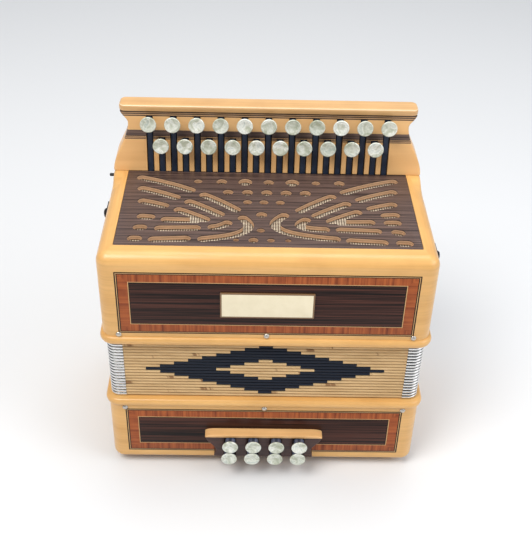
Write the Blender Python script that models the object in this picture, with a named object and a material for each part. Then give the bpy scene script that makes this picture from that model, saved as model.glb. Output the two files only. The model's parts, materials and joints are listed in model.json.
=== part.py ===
"""Two-row button accordion, standing on its bass end with the bellows closed.

X runs along the fingerboard, Y from front to back and +Z from the bass end to the treble end.
Every piece is modelled about the cases' middle, and one empty carries the whole instrument.
"""

import math

import bmesh
import bpy
import numpy as np
from mathutils import Matrix, Vector

MM = 0.001
GAP = 0.3 * MM  # between two pieces that touch

# Cases
CASE_W = 246 * MM
CASE_D = 146 * MM
CASE_WALL = 8 * MM
CASE_CORNER = 9 * MM
BASS_H = 67.5 * MM
TREBLE_H = 80 * MM
BELLOWS_GAP = 56.5 * MM
TOP_ROUND = 9 * MM
BOTTOM_ROUND = 6 * MM
BEAD_H = 6.8 * MM
BEAD_OUT = 2.4 * MM
LEDGE = 3 * MM

# Feet, end plate and hand strap
FOOT_H = 6 * MM
FOOT_R = 7 * MM
FOOT_INSET = 22 * MM
PLATE_T = 4 * MM
PLATE_MARGIN = 11 * MM
SOUND_SLOT_L = 60 * MM
SOUND_SLOT_W = 3.3 * MM
SOUND_SLOT_PITCH = 6.5 * MM
SOUND_SLOTS = 5
STRAP_SHORT = 35 * MM  # of the case, at each end
STRAP_W = 42 * MM
STRAP_T = 2.6 * MM
STRAP_EDGE = 0.8 * MM

# Bellows
FOLDS = 19
FOLD_DEPTH = 2.2 * MM
BELLOWS_INSET = 3.2 * MM
BELLOWS_CORNER = 6 * MM
BELLOWS_WALL = 15 * MM
FRAME_WALL = 12 * MM
FRAME_H = 11 * MM

# Front panels and name plate
PANEL_SIDE = 13 * MM
PANEL_T = 1.2 * MM
TREBLE_PANEL_LOW = 10.7 * MM
TREBLE_PANEL_DOWN = 13.4 * MM
BASS_PANEL_LOW = 9.7 * MM
BASS_PANEL_DOWN = 11.1 * MM
NAME_W = 68.8 * MM
NAME_H = 22.5 * MM
NAME_T = 1.1 * MM
NAME_EDGE = 0.3 * MM

# Grille
GRILLE_SIDE = 12 * MM
GRILLE_T = 4 * MM
GRILLE_FRONT = 14.7 * MM
GRILLE_LEDGE = 6 * MM
MESH_T = 0.8 * MM
FRET_W = 8.2 * MM
FRET_BREAK = 2.4 * MM
FRET_DRAWN_W = 222  # the fretwork's numbers are for a grille of this size, and stretch with it
FRET_DRAWN_D = 104

# Fingerboard
BOARD_D = 27 * MM
BOARD_H = 49.3 * MM
BOARD_LEAN = math.radians(8)
BOARD_BACK_LEAN = math.radians(7)
BOARD_WAIST_IN = 12.8 * MM
BOARD_WAIST_UP = 39.5 * MM
BOARD_TIP_IN = 7 * MM
BOARD_EDGE = 1.4 * MM
CAP_H = 5.2 * MM
CAP_OUT = 1.2 * MM
CAP_ROUND = 2 * MM
CAP_CORNER = 3 * MM

# Keys
OUTER_KEYS = 11
INNER_KEYS = 10
KEY_PITCH = 18.65 * MM
OUTER_UP = 41.8 * MM
INNER_UP = 24.4 * MM
LEVER_W = 4.6 * MM
LEVER_T = 4 * MM
LEVER_SUNK = 1 * MM
LEVER_PAST = 3.6 * MM
SLOT_SIDE = 0.5 * MM
SLOT_END = 0.8 * MM
SLOT_D = 9.8 * MM
BUTTON_R = 6.2 * MM
BUTTON_T = 4.6 * MM
BUTTON_STAND = 11 * MM
STEM_R = 2.3 * MM
AXLE_R = 1.5 * MM
AXLE_DOWN = 10 * MM
AXLE_FIT = 0.15 * MM
AXLE_SEAT = 4 * MM
BOSS_R = 3.6 * MM
ARM_W = 2.6 * MM
ARM_H = 3.2 * MM
ROOT_IN = 0.3 * MM  # a web or post inside the piece it joins
POST_L = 2 * MM
ARM_UP = 8.5 * MM  # underside of an arm above the pallet board
OUTER_ARM = 67.6 * MM  # axle to the middle of the pallet
INNER_ARM = 33.6 * MM

# Valves
PALLET_W = 15 * MM
PALLET_L = 22 * MM
PALLET_T = 4 * MM
PALLET_LAP = 1.8 * MM
BOARD_T = 8 * MM
BOARD_DOWN = 26 * MM  # top of the pallet board under the case's top
REED_END = 1.75 * MM
REED_BLOCK_W = 27 * MM
REED_BLOCK_H = 32 * MM
REED_WALL = 3.5 * MM

# Bass action
BASS_COLUMNS = 4
BASS_PITCH = 18.4 * MM
BASS_LOW_Z = 17.7 * MM  # above the case's underside
BASS_ROW_RISE = 13.1 * MM
BASS_ROW_SHIFT = 0.9 * MM  # upper row to the right of the lower
BASS_STAND = 17 * MM  # button faces in front of the case
BASS_BUTTON_T = 1.6 * MM
BASS_TAB_W = 8 * MM
BASS_TAB_UP = 1.6 * MM
BASS_TAB_IN = 0.5 * MM  # its end inside the block's slot
BASS_ROD_R = 2 * MM
BASS_ROD_FIT = 0.3 * MM
BASS_PALLET_W = 15 * MM
BASS_PALLET_H = 11.4 * MM
BASS_PALLET_T = 3 * MM
BASS_BOARD_BACK = 5 * MM  # behind the front wall
BASS_BOARD_T = 4 * MM
BASS_BOARD_SIDE = 12 * MM
BASS_ROOM = 4 * MM  # behind a closed pallet
BLOCK_OUT = 7.7 * MM
BLOCK_LOW = 11.6 * MM
BLOCK_H = 21.1 * MM
BLOCK_W = 93 * MM
BLOCK_WAIST_W = 77 * MM
BLOCK_FOOT_W = 80 * MM
STRIP_T = 2.8 * MM
STRIP_OUT = 0.6 * MM
STRIP_ROUND = 0.8 * MM
STRIP_CORNER = 3 * MM
TAB_SLOT_D = 4 * MM

# Air button, on the back of the bass end
AIR_X = 62 * MM
AIR_UP = 34 * MM
AIR_R = 6.2 * MM
AIR_STAND = 9 * MM
AIR_HOLES = 3
AIR_HOLE_R = 2.6 * MM
AIR_HOLE_RING = 7 * MM
AIR_PAD_R = 11 * MM

# Strap fittings
SIDE_OUT = 4.6 * MM
BRACKET_W = 14 * MM
BRACKET_H = 14.4 * MM
BRACKET_PLATE_T = 1.4 * MM
BRACKET_WIRE_R = 1.2 * MM
BRACKET_BAIL_H = 10.4 * MM
RIGHT_BRACKET_IN = 32 * MM  # from the front
LEFT_BRACKET_IN = 83 * MM
BRACKET_DOWN = 18 * MM
PEG_R = 1.3 * MM
PEG_IN = 21 * MM  # from the back
PEG_DOWN = 7.5 * MM

EDGE = 0.5 * MM
BURY = 0.5 * MM  # how far the solids of one piece reach into each other
CORNER_STEPS = 4
ROUND_STEPS = 4

# Levels and faces that several pieces share
BASS_Z = FOOT_H
BASS_TOP = BASS_Z + BASS_H
TREBLE_Z = BASS_TOP + BELLOWS_GAP
TREBLE_TOP = TREBLE_Z + TREBLE_H
FRONT_Y = -CASE_D / 2
BACK_Y = CASE_D / 2
GRILLE_Y0 = FRONT_Y + GRILLE_FRONT
BOARD_FOOT_Y = BACK_Y - BOARD_D
GRILLE_Y1 = BOARD_FOOT_Y - GAP
GRILLE_W = CASE_W - 2 * GRILLE_SIDE
PANEL_W = CASE_W - 2 * PANEL_SIDE
TREBLE_PANEL_H = TREBLE_H - TREBLE_PANEL_LOW - TREBLE_PANEL_DOWN
BASS_PANEL_H = BASS_H - BASS_PANEL_LOW - BASS_PANEL_DOWN
AXLE_Z = TREBLE_TOP - AXLE_DOWN
AXLE_Y = (BOARD_FOOT_Y - AXLE_DOWN * math.tan(BOARD_LEAN)
          + (LEVER_SUNK + LEVER_T / 2) / math.cos(BOARD_LEAN))
OUTER_PALLET_Y = AXLE_Y - OUTER_ARM
INNER_PALLET_Y = AXLE_Y - INNER_ARM
PALLET_BOARD_TOP = TREBLE_TOP - BOARD_DOWN
INNER_W = CASE_W / 2 - CASE_WALL
INNER_D = CASE_D / 2 - CASE_WALL
SHIFT_Y = (BASS_STAND - AIR_STAND) / 2

# colour, roughness, metallic
FINISHES = {
    "maple": ((0.62, 0.36, 0.13), 0.35, 0),
    "dark_wood": ((0.06, 0.025, 0.015), 0.4, 0),
    "inlay": ((0.3, 0.09, 0.03), 0.35, 0),
    "plain_wood": ((0.55, 0.38, 0.2), 0.6, 0),
    "cream": ((0.8, 0.74, 0.55), 0.4, 0),
    "black_metal": ((0.012, 0.012, 0.014), 0.35, 1),
    "lever": ((0.02, 0.025, 0.035), 0.4, 0),
    "mesh": ((0.7, 0.68, 0.62), 0.35, 1),
    "steel": ((0.6, 0.6, 0.6), 0.3, 1),
    "bellows": ((0.5, 0.34, 0.17), 0.7, 0),
    "rubber": ((0.02, 0.02, 0.02), 0.8, 0),
    "leather": ((0.05, 0.025, 0.015), 0.7, 0),
}


def clear_scene():
    for obj in list(bpy.data.objects):
        bpy.data.objects.remove(obj)


def new_collection(name, hidden):
    collection = bpy.data.collections.new(name)
    bpy.context.scene.collection.children.link(collection)
    collection.hide_render = hidden
    return collection


def material(name):
    found = bpy.data.materials.get(name)
    if found:
        return found
    colour, roughness, metallic = FINISHES[name]
    found = bpy.data.materials.new(name)
    found.use_nodes = True
    shader = found.node_tree.nodes["Principled BSDF"]
    shader.inputs["Base Color"].default_value = (*colour, 1)
    shader.inputs["Roughness"].default_value = roughness
    shader.inputs["Metallic"].default_value = metallic
    return found


clear_scene()
PARTS = new_collection("button_accordion", hidden=False)
CUTTERS = new_collection("cutters", hidden=True)
BODY = bpy.data.objects.new("case_middle", None)
PARTS.objects.link(BODY)
BODY.location = (0, SHIFT_Y, 0)


# Meshes

def rounded_ring(half_x, y0, y1, radius, z):
    """Points of a level rounded rectangle, anticlockwise seen from above."""
    turns = np.linspace(0, math.pi / 2, CORNER_STEPS + 1)
    corners = [(half_x, y1, 0), (-half_x, y1, 1), (-half_x, y0, 2), (half_x, y0, 3)]
    points = []
    for x, y, quarter in corners:
        angle = turns + quarter * math.pi / 2
        centre = (x - math.copysign(radius, x), y - (radius if y == y1 else -radius))
        for a in angle:
            points.append((centre[0] + radius * math.cos(a), centre[1] + radius * math.sin(a), z))
    return points


def case_ring(inset, z):
    """The case's outline at height z, moved in by inset, or out where it is negative."""
    radius = max(CASE_CORNER - inset, MM)
    return rounded_ring(CASE_W / 2 - inset, FRONT_Y + inset, BACK_Y - inset, radius, z)


def inner_ring(inset, z):
    """The outline of what stands inside the case's walls, moved in by inset."""
    return rounded_ring(INNER_W - inset, -INNER_D + inset, INNER_D - inset, 2 * MM, z)


def round_over(radius, z, rising):
    """Case rings of a quarter round, from the wall to the flat (rising) or from the flat to the wall."""
    rings = []
    for a in np.linspace(0, math.pi / 2, ROUND_STEPS + 1):
        height = z + radius * math.sin(a) * (1 if rising else -1)
        rings.append(case_ring(radius * (1 - math.cos(a)), height))
    return rings if rising else rings[::-1]


def bead(z0):
    """Case rings of a half-round bead that starts at z0."""
    angles = np.linspace(-math.pi / 2, math.pi / 2, 7)
    return [case_ring(-BEAD_OUT * math.cos(a), z0 + BEAD_H / 2 * (1 + math.sin(a))) for a in angles]


def loft_mesh(name, rings, closed=False):
    """A skin over rings of equal length: a tube that meets itself where closed, else with two flat caps."""
    shape = bmesh.new()
    rows = [[shape.verts.new(point) for point in ring] for ring in rings]
    count = len(rings[0])
    pairs = list(zip(rows, rows[1:])) + ([(rows[-1], rows[0])] if closed else [])
    for lower, upper in pairs:
        for i in range(count):
            j = (i + 1) % count
            shape.faces.new((lower[i], lower[j], upper[j], upper[i]))
    if not closed:
        shape.faces.new(rows[0][::-1])
        shape.faces.new(rows[-1])
    return mesh_from(name, shape)


def mesh_from(name, shape):
    bmesh.ops.recalc_face_normals(shape, faces=shape.faces)
    mesh = bpy.data.meshes.new(name)
    shape.to_mesh(mesh)
    shape.free()
    return mesh


def box_shape(low, high, bevel=0, steps=2):
    shape = bmesh.new()
    bmesh.ops.create_cube(shape, size=1)
    low, high = Vector(low), Vector(high)
    bmesh.ops.scale(shape, vec=high - low, verts=shape.verts)
    bmesh.ops.translate(shape, vec=(low + high) / 2, verts=shape.verts)
    if bevel:
        bmesh.ops.bevel(shape, geom=shape.edges, offset=bevel, segments=steps, affect="EDGES", profile=0.5)
    return shape


def box_mesh(name, low, high, bevel=0, steps=2):
    return mesh_from(name, box_shape(low, high, bevel, steps))


def boxes_mesh(name, spans):
    """Several boxes that don't touch, in one mesh: used to cut."""
    whole = bpy.data.meshes.new(name)
    shape = bmesh.new()
    for low, high in spans:
        piece = box_mesh("piece", low, high)
        shape.from_mesh(piece)
        bpy.data.meshes.remove(piece)
    shape.to_mesh(whole)
    shape.free()
    return whole


TURNS = {"x": Matrix.Rotation(math.pi / 2, 4, "Y"), "y": Matrix.Rotation(math.pi / 2, 4, "X"), "z": Matrix()}


def rod_shape(radius, length, centre, axis, sides=16, bevel=0):
    shape = bmesh.new()
    bmesh.ops.create_cone(shape, cap_ends=True, segments=sides, radius1=radius, radius2=radius, depth=length)
    if bevel:
        rims = [edge for edge in shape.edges if abs(edge.verts[0].co.z - edge.verts[1].co.z) < length / 2]
        bmesh.ops.bevel(shape, geom=rims, offset=bevel, segments=1, affect="EDGES", profile=0.5)
    bmesh.ops.transform(shape, matrix=Matrix.Translation(centre) @ TURNS[axis], verts=shape.verts)
    return shape


def rod_mesh(name, radius, length, centre, axis, sides=16, bevel=0):
    return mesh_from(name, rod_shape(radius, length, centre, axis, sides, bevel))


def rods_mesh(name, radius, length, centres, axis, sides=16):
    """Several parallel rods that don't touch, in one mesh: used to cut."""
    whole = bpy.data.meshes.new(name)
    shape = bmesh.new()
    for centre in centres:
        piece = rod_mesh("piece", radius, length, centre, axis, sides)
        shape.from_mesh(piece)
        bpy.data.meshes.remove(piece)
    shape.to_mesh(whole)
    shape.free()
    return whole


# Objects

def add(name, mesh, finish, location=(0, 0, 0)):
    obj = bpy.data.objects.new(name, mesh)
    PARTS.objects.link(obj)
    obj.parent = BODY
    obj.location = location
    if not mesh.materials:
        mesh.materials.append(material(finish))
    mesh.shade_smooth()
    mesh.set_sharp_from_angle(angle=math.radians(35))
    return obj


def helper(mesh):
    obj = bpy.data.objects.new(mesh.name, mesh)
    CUTTERS.objects.link(obj)
    obj.parent = BODY
    obj.hide_render = True
    obj.display_type = "WIRE"
    return obj


def cut(obj, mesh, operation="DIFFERENCE"):
    change = obj.modifiers.new(mesh.name, "BOOLEAN")
    change.operation = operation
    change.solver = "EXACT"
    change.object = helper(mesh)


def fused(name, meshes, cutters=()):
    """One mesh from overlapping meshes, less the cutters."""
    first = bpy.data.objects.new(name, meshes[0])
    CUTTERS.objects.link(first)
    others = [(mesh, "UNION") for mesh in meshes[1:]] + [(mesh, "DIFFERENCE") for mesh in cutters]
    made = [first]
    for mesh, operation in others:
        obj = bpy.data.objects.new(mesh.name, mesh)
        CUTTERS.objects.link(obj)
        change = first.modifiers.new(mesh.name, "BOOLEAN")
        change.operation = operation
        change.solver = "EXACT"
        change.object = obj
        made.append(obj)
    graph = bpy.context.evaluated_depsgraph_get()
    result = bpy.data.meshes.new_from_object(first.evaluated_get(graph))
    result.name = name
    for obj in made:
        bpy.data.objects.remove(obj)
    return result


# Bass end

def bass_case():
    mouth = PLATE_MARGIN - CASE_WALL - GAP  # the end plate's opening, in from the walls
    rings = [inner_ring(mouth, BASS_Z)]
    rings += round_over(BOTTOM_ROUND, BASS_Z + BOTTOM_ROUND, rising=False)
    rings += bead(BASS_TOP - BEAD_H)
    shelf = BASS_Z + PLATE_T + GAP
    rings += [inner_ring(0, BASS_TOP), inner_ring(0, shelf + LEDGE)]
    rings += [inner_ring(mouth + LEDGE, shelf + LEDGE), inner_ring(mouth + LEDGE, shelf)]
    rings += [inner_ring(mouth, shelf)]
    case = add("bass_case", loft_mesh("bass_case", rings, closed=True), "maple")
    cut(case, panel_recess("bass_panel_recess", BASS_Z + BASS_PANEL_LOW, BASS_PANEL_H))
    cut(case, rods_mesh("bass_rod_holes", BASS_ROD_R + BASS_ROD_FIT, 4 * CASE_WALL,
                        [(x, FRONT_Y, z) for x, z in bass_places()], "y", 8))
    air = (AIR_X, BACK_Y, BASS_Z + AIR_UP)
    ring = [2 * math.pi * i / AIR_HOLES for i in range(AIR_HOLES)]
    around = [(air[0] + AIR_HOLE_RING * math.cos(a), air[1], air[2] + AIR_HOLE_RING * math.sin(a))
              for a in ring]
    cut(case, rods_mesh("air_holes", AIR_HOLE_R, 4 * CASE_WALL, around, "y", 10))
    cut(case, rod_mesh("air_guide", BASS_ROD_R + BASS_ROD_FIT, 4 * CASE_WALL, air, "y", 8))


def panel_recess(name, low, height):
    half, deep = PANEL_W / 2 + GAP, PANEL_T + GAP
    return box_mesh(name, (-half, FRONT_Y - MM, low - GAP), (half, FRONT_Y + deep, low + height + GAP))


def front_panel(name, low, height):
    mesh = box_mesh(name, (-PANEL_W / 2, FRONT_Y, low), (PANEL_W / 2, FRONT_Y + PANEL_T, low + height))
    return add(name, mesh, "inlay")


def bass_places():
    """(x, z) of each bass button, the upper row first."""
    columns = [(i - (BASS_COLUMNS - 1) / 2) * BASS_PITCH for i in range(BASS_COLUMNS)]
    low = BASS_Z + BASS_LOW_Z
    rows = ((BASS_ROW_SHIFT, BASS_ROW_RISE), (0, 0))
    return [(x + shift, low + rise) for shift, rise in rows for x in columns]


def bass_front():
    panel = front_panel("bass_front_inlay", BASS_Z + BASS_PANEL_LOW, BASS_PANEL_H)
    holes = [(x, FRONT_Y, z) for x, z in bass_places()]
    cut(panel, rods_mesh("panel_rod_holes", BASS_ROD_R + BASS_ROD_FIT, 4 * PANEL_T, holes, "y", 8))


def block_half_width(rise):
    """Half the block's width, from its foot (0) to its top (1): a small flare, a waist, a wide ogee."""
    foot, waist, top = BLOCK_FOOT_W / 2, BLOCK_WAIST_W / 2, BLOCK_W / 2
    bend = 0.3
    if rise < bend:
        return waist + (foot - waist) * (1 + math.cos(math.pi * rise / bend)) / 2
    return waist + (top - waist) * (1 - math.cos(math.pi * (rise - bend) / (1 - bend))) / 2


def bass_block():
    low, front = BASS_Z + BLOCK_LOW, FRONT_Y - BLOCK_OUT
    rises = np.linspace(0, 1, 11)
    right = [(block_half_width(r), low + BLOCK_H * r) for r in rises]
    outline = right + [(-x, z) for x, z in right[::-1]]
    edge = MM
    levels = [(FRONT_Y - GAP, 0), (front + edge, 0), (front + edge / 3, edge / 3), (front, edge)]
    rings = [[(x - math.copysign(inset, x), y, z) for x, z in outline] for y, inset in levels]
    block = add("bass_button_block", loft_mesh("bass_button_block", rings), "dark_wood")
    places = bass_places()
    half = BASS_TAB_W / 2 + SLOT_SIDE
    slots = [((x - half, front - MM, BASS_Z + BASS_LOW_Z - half),
              (x + BASS_ROW_SHIFT + half, front + TAB_SLOT_D, low + BLOCK_H + MM))
             for x, _ in places[BASS_COLUMNS:]]
    cut(block, boxes_mesh("tab_slots", slots))
    cut(block, rods_mesh("block_rod_holes", BASS_ROD_R + BASS_ROD_FIT, 4 * BLOCK_OUT,
                         [(x, FRONT_Y, z) for x, z in places], "y", 8))
    strip_low = low + BLOCK_H + GAP
    half = BLOCK_W / 2 + STRIP_OUT
    y0, y1 = front - STRIP_OUT, FRONT_Y - GAP
    levels = [(0, EDGE), (EDGE, 0), (STRIP_T - STRIP_ROUND, 0), (STRIP_T, STRIP_ROUND)]
    rings = [rounded_ring(half - inset, y0 + inset, y1, STRIP_CORNER, strip_low + up)
             for up, inset in levels]
    add("bass_block_strip", loft_mesh("bass_block_strip", rings), "maple")


def plunger_mesh(name, stand, button_t, button_r, pad, tab):
    """A button on a rod through a wall at y = 0, pressed along +Y, with its pallet behind the board."""
    depth = CASE_WALL + BASS_BOARD_BACK + BASS_BOARD_T + GAP if tab else CASE_WALL + GAP
    parts = [rod_mesh("button", button_r, button_t, (0, button_t / 2 - stand, 0), "y", 16),
             rod_mesh("rod", BASS_ROD_R, depth + stand - button_t + 2 * BURY,
                      (0, (depth - stand + button_t) / 2, 0), "y", 8)]
    if tab:
        behind = button_t - stand
        parts.append(box_mesh("tab", (-BASS_TAB_W / 2, behind - BURY, -BASS_TAB_W / 2),
                              (BASS_TAB_W / 2, BASS_TAB_IN - BLOCK_OUT, BASS_TAB_UP)))
    parts.append(pad(depth))
    return fused(name, parts)


def bass_pad(depth):
    half_w, half_h = BASS_PALLET_W / 2, BASS_PALLET_H / 2
    return box_mesh("pallet", (-half_w, depth, -half_h), (half_w, depth + BASS_PALLET_T, half_h))


def air_pad(depth):
    return rod_mesh("pad", AIR_PAD_R, BASS_PALLET_T, (0, depth + BASS_PALLET_T / 2, 0), "y", 20)


def bass_action():
    mesh = plunger_mesh("bass_button", BASS_STAND, BASS_BUTTON_T, BUTTON_R, bass_pad, tab=True)
    for number, (x, z) in enumerate(bass_places(), 1):
        add(f"bass_button_{number}", mesh, "cream", (x, FRONT_Y, z))
    y0 = FRONT_Y + CASE_WALL + BASS_BOARD_BACK
    half = BASS_COLUMNS * BASS_PITCH / 2 + BASS_BOARD_SIDE
    low, high = BASS_Z + PLATE_T + LEDGE + 2 * GAP, BASS_TOP - FRAME_H - 2 * GAP
    board = add("bass_pallet_board", box_mesh("bass_pallet_board", (-half, y0, low),
                                             (half, y0 + BASS_BOARD_T, high)), "plain_wood")
    hole_w, hole_h = BASS_PALLET_W / 2 - PALLET_LAP, BASS_PALLET_H / 2 - PALLET_LAP
    spans = [((x - hole_w, y0 - MM, z - hole_h), (x + hole_w, y0 + BASS_BOARD_T + MM, z + hole_h))
             for x, z in bass_places()]
    cut(board, boxes_mesh("bass_board_holes", spans))
    room = y0 + BASS_BOARD_T + GAP + BASS_PALLET_T + BASS_ROOM
    low = BASS_Z + PLATE_T + GAP
    block = add("bass_reed_block", box_mesh("bass_reed_block", (-half, room, low),
                                           (half, room + REED_BLOCK_W, high)), "plain_wood")
    back = room + REED_BLOCK_W - REED_WALL
    spans = [((x - hole_w, room - MM, z - hole_h), (x + hole_w, back, z + hole_h))
             for x, z in bass_places()]
    cut(block, boxes_mesh("bass_reed_cells", spans))
    air = plunger_mesh("air_button", AIR_STAND, BASS_BUTTON_T, AIR_R, air_pad, tab=False)
    air.transform(Matrix.Rotation(math.pi, 4, "Z"))
    add("air_button", air, "cream", (AIR_X, BACK_Y, BASS_Z + AIR_UP))


def end_plate_and_feet():
    half_w, half_d = CASE_W / 2 - PLATE_MARGIN, CASE_D / 2 - PLATE_MARGIN
    rings = [rounded_ring(half_w, -half_d, half_d, 2 * MM, z) for z in (BASS_Z, BASS_Z + PLATE_T)]
    plate = add("bass_end_plate", loft_mesh("bass_end_plate", rings), "maple")
    slots = []
    for side in (-1, 1):
        for i in range(SOUND_SLOTS):
            y = side * (STRAP_W / 2 + (i + 1) * SOUND_SLOT_PITCH)
            slots.append(((-SOUND_SLOT_L / 2, y - SOUND_SLOT_W / 2, BASS_Z - MM),
                          (SOUND_SLOT_L / 2, y + SOUND_SLOT_W / 2, BASS_Z + PLATE_T + MM)))
    cut(plate, boxes_mesh("sound_slots", slots))
    names = {(-1, -1): "front_left", (1, -1): "front_right", (-1, 1): "back_left", (1, 1): "back_right"}
    height = FOOT_H - GAP
    foot = rod_mesh("foot", FOOT_R, height, (0, 0, height / 2), "z", 16, MM)
    for (sx, sy), name in names.items():
        place = (sx * (CASE_W / 2 - FOOT_INSET), sy * (CASE_D / 2 - FOOT_INSET), 0)
        add(f"foot_{name}", foot, "rubber", place)
    top = BASS_Z - GAP
    half = CASE_W / 2 - STRAP_SHORT
    strap = box_mesh("hand_strap", (-half, -STRAP_W / 2, top - STRAP_T), (half, STRAP_W / 2, top), STRAP_EDGE)
    add("hand_strap", strap, "leather")


def bellows_frame(name, low):
    rings = [inner_ring(GAP, low), inner_ring(GAP, low + FRAME_H - GAP),
             inner_ring(FRAME_WALL, low + FRAME_H - GAP), inner_ring(FRAME_WALL, low)]
    add(name, loft_mesh(name, rings, closed=True), "plain_wood")


def bellows():
    low, high = BASS_TOP + GAP, TREBLE_Z - GAP
    pitch = (high - low) / FOLDS

    def ring(inset, z):
        inset += BELLOWS_INSET
        radius = max(BELLOWS_CORNER - inset, MM)
        return rounded_ring(CASE_W / 2 - inset, FRONT_Y + inset, BACK_Y - inset, radius, z)

    rings = []
    for fold in range(FOLDS):
        rings += [ring(FOLD_DEPTH, low + fold * pitch), ring(0, low + (fold + 0.5) * pitch)]
    rings += [ring(FOLD_DEPTH, high), ring(BELLOWS_WALL, high), ring(BELLOWS_WALL, low)]
    add("bellows", loft_mesh("bellows", rings, closed=True), "bellows")


# Treble end

def treble_case():
    top_half, y0, y1 = GRILLE_W / 2 + GAP, GRILLE_Y0 - GAP, BACK_Y - CASE_WALL - 3 * MM
    shelf = TREBLE_TOP - GRILLE_T - GAP
    narrow, deep = GRILLE_W / 2 - GRILLE_LEDGE, y0 + GRILLE_LEDGE
    step = PALLET_BOARD_TOP + GAP

    def opening(half, front, back, z):
        return rounded_ring(half, front, back, MM, z)

    rings = bead(TREBLE_Z)
    rings += round_over(TOP_ROUND, TREBLE_TOP - TOP_ROUND, rising=True)
    rings += [opening(top_half, y0, y1, TREBLE_TOP), opening(top_half, y0, y1, shelf)]
    rings += [opening(narrow, deep, y1 - MM, shelf), opening(narrow, deep, y1 - MM, shelf - LEDGE)]
    rings += [inner_ring(LEDGE, shelf - LEDGE), inner_ring(LEDGE, step)]
    rings += [inner_ring(0, step), inner_ring(0, TREBLE_Z)]
    case = add("treble_case", loft_mesh("treble_case", rings, closed=True), "maple")
    cut(case, panel_recess("treble_panel_recess", TREBLE_Z + TREBLE_PANEL_LOW, TREBLE_PANEL_H))
    seat = 2 * (INNER_W - LEDGE + AXLE_SEAT)
    cut(case, rod_mesh("axle_seat", AXLE_R + GAP, seat, (0, AXLE_Y, AXLE_Z), "x", 12))


def name_plate():
    middle = TREBLE_Z + TREBLE_PANEL_LOW + TREBLE_PANEL_H / 2
    back = FRONT_Y - GAP
    low, high = (-NAME_W / 2, back - NAME_T, middle - NAME_H / 2), (NAME_W / 2, back, middle + NAME_H / 2)
    add("name_plate", box_mesh("name_plate", low, high, NAME_EDGE, 1), "cream")


def arc_through(start, middle, end, count):
    """Points of the quadratic curve that passes through middle at its half-way mark."""
    start, middle, end = (Vector(p) for p in (start, middle, end))
    pull = 2 * middle - (start + end) / 2
    steps = np.linspace(0, 1, count)
    return [start * (1 - t) ** 2 + pull * (2 * t * (1 - t)) + end * t ** 2 for t in steps]


def trimmed(line, lead, tail):
    """The same line with its ends cut back, its points spread evenly along what is left."""
    points = np.array(line, float)
    run = np.concatenate([[0], np.cumsum(np.linalg.norm(np.diff(points, axis=0), axis=1))])
    spots = np.linspace(lead, run[-1] - tail, len(points))
    return [Vector((np.interp(s, run, points[:, 0]), np.interp(s, run, points[:, 1]))) for s in spots]


def bar_outline(line, width):
    """A band of even width about a line of points, with round ends."""
    half = width / 2
    middle = trimmed(line, half, half)
    ahead = [(b - a).normalized() for a, b in zip(middle, middle[1:])]
    ways = [ahead[0]] + [(a + b).normalized() for a, b in zip(ahead, ahead[1:])] + [ahead[-1]]

    def edge(side):
        """The line moved to one side, without the points that a tight bend brings nearer the line."""
        moved = [p + Vector((-w.y, w.x)) * side * half for p, w in zip(middle, ways)]
        return [p for p in moved if min((p - q).length for q in middle) > half - BURY]

    left, right = edge(1), edge(-1)

    def cap(centre, way):
        side = Vector((way.y, -way.x))
        angles = np.linspace(0, math.pi, 6)[1:-1]
        return [centre + (side * math.cos(a) + way * math.sin(a)) * half for a in angles]

    return right + cap(middle[-1], ways[-1]) + left[::-1] + cap(middle[0], -ways[0])


def parted_curve(points, split):
    """A line parted at the given share of its length, as two lines."""
    length = sum((b - a).length for a, b in zip(points, points[1:]))
    first = trimmed(points, 0, length * (1 - split) + FRET_BREAK)[::2]
    return first, trimmed(points, length * split + FRET_BREAK, 0)[::2]


def fret_place(x, y):
    """The point at x, y of the fretwork as drawn, from its middle and its front edge."""
    return (x * GRILLE_W / FRET_DRAWN_W, GRILLE_Y0 + y * (GRILLE_Y1 - GRILLE_Y0) / FRET_DRAWN_D)


def fret_lines():
    """Middle lines of the grille's bars, drawn from its middle and its front edge.

    Three curved bars, each parted once, and two long ones lie in both halves, drawn here for the left.
    Each half has short bars of its own at its outer edge, and two hooks round the tips of the curved
    bars. The last bar meets the lowest curved one, so it is cut apart from it.
    """
    fans = [((-103.5, 95), (-60, 76.3), (-21.5, 46.5), 0.56), ((-101.3, 79), (-66.3, 63), (-33.3, 39.7), 0.5),
            ((-99.3, 60.5), (-71.5, 49.8), (-43.7, 32.8), 0.45)]
    long_bars = [((-83.7, 22.2), (-67, 22.8), (-49.5, 23.7)), ((-87, 7.6), (-71.5, 8.6), (-56, 9.8))]
    left = [((-98, 38.3), (-91, 37.5), (-84, 36.8)), ((-99.5, 23), (-94, 23.1), (-88.7, 23.2)),
            ((-102, 8.6), (-96.5, 8.6), (-91, 8.5)), ((-44.8, 25), (-36, 26.5), (-27.8, 33.5)),
            ((-51.5, 8.7), (-17.5, 20.5), (-21.5, 40.5))]
    right = [((84.7, 43.3), (92, 44.2), (99.7, 45)), ((86, 33.7), (93, 33.9), (99.6, 34)),
             ((90.3, 22.3), (95.5, 21), (100.7, 19.7)), ((92.2, 7.8), (98.5, 7.2), (105, 6.7)),
             ((31, 38.5), (24.5, 27.5), (45.5, 23.7)), ((14.9, 44.5), (8.5, 23), (52.6, 11))]
    meeting = ((-80, 34.6), (-66, 33.8), (-49, 33.8))

    def drawn(points):
        return arc_through(*(fret_place(*point) for point in points), 13)

    both = []
    for *points, split in fans:
        both += parted_curve(drawn(points), split)
    both += [drawn(points)[::4] for points in long_bars]
    own = [drawn(points)[::2] for points in left + right]
    return both, own, drawn(meeting)[::6]


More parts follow.
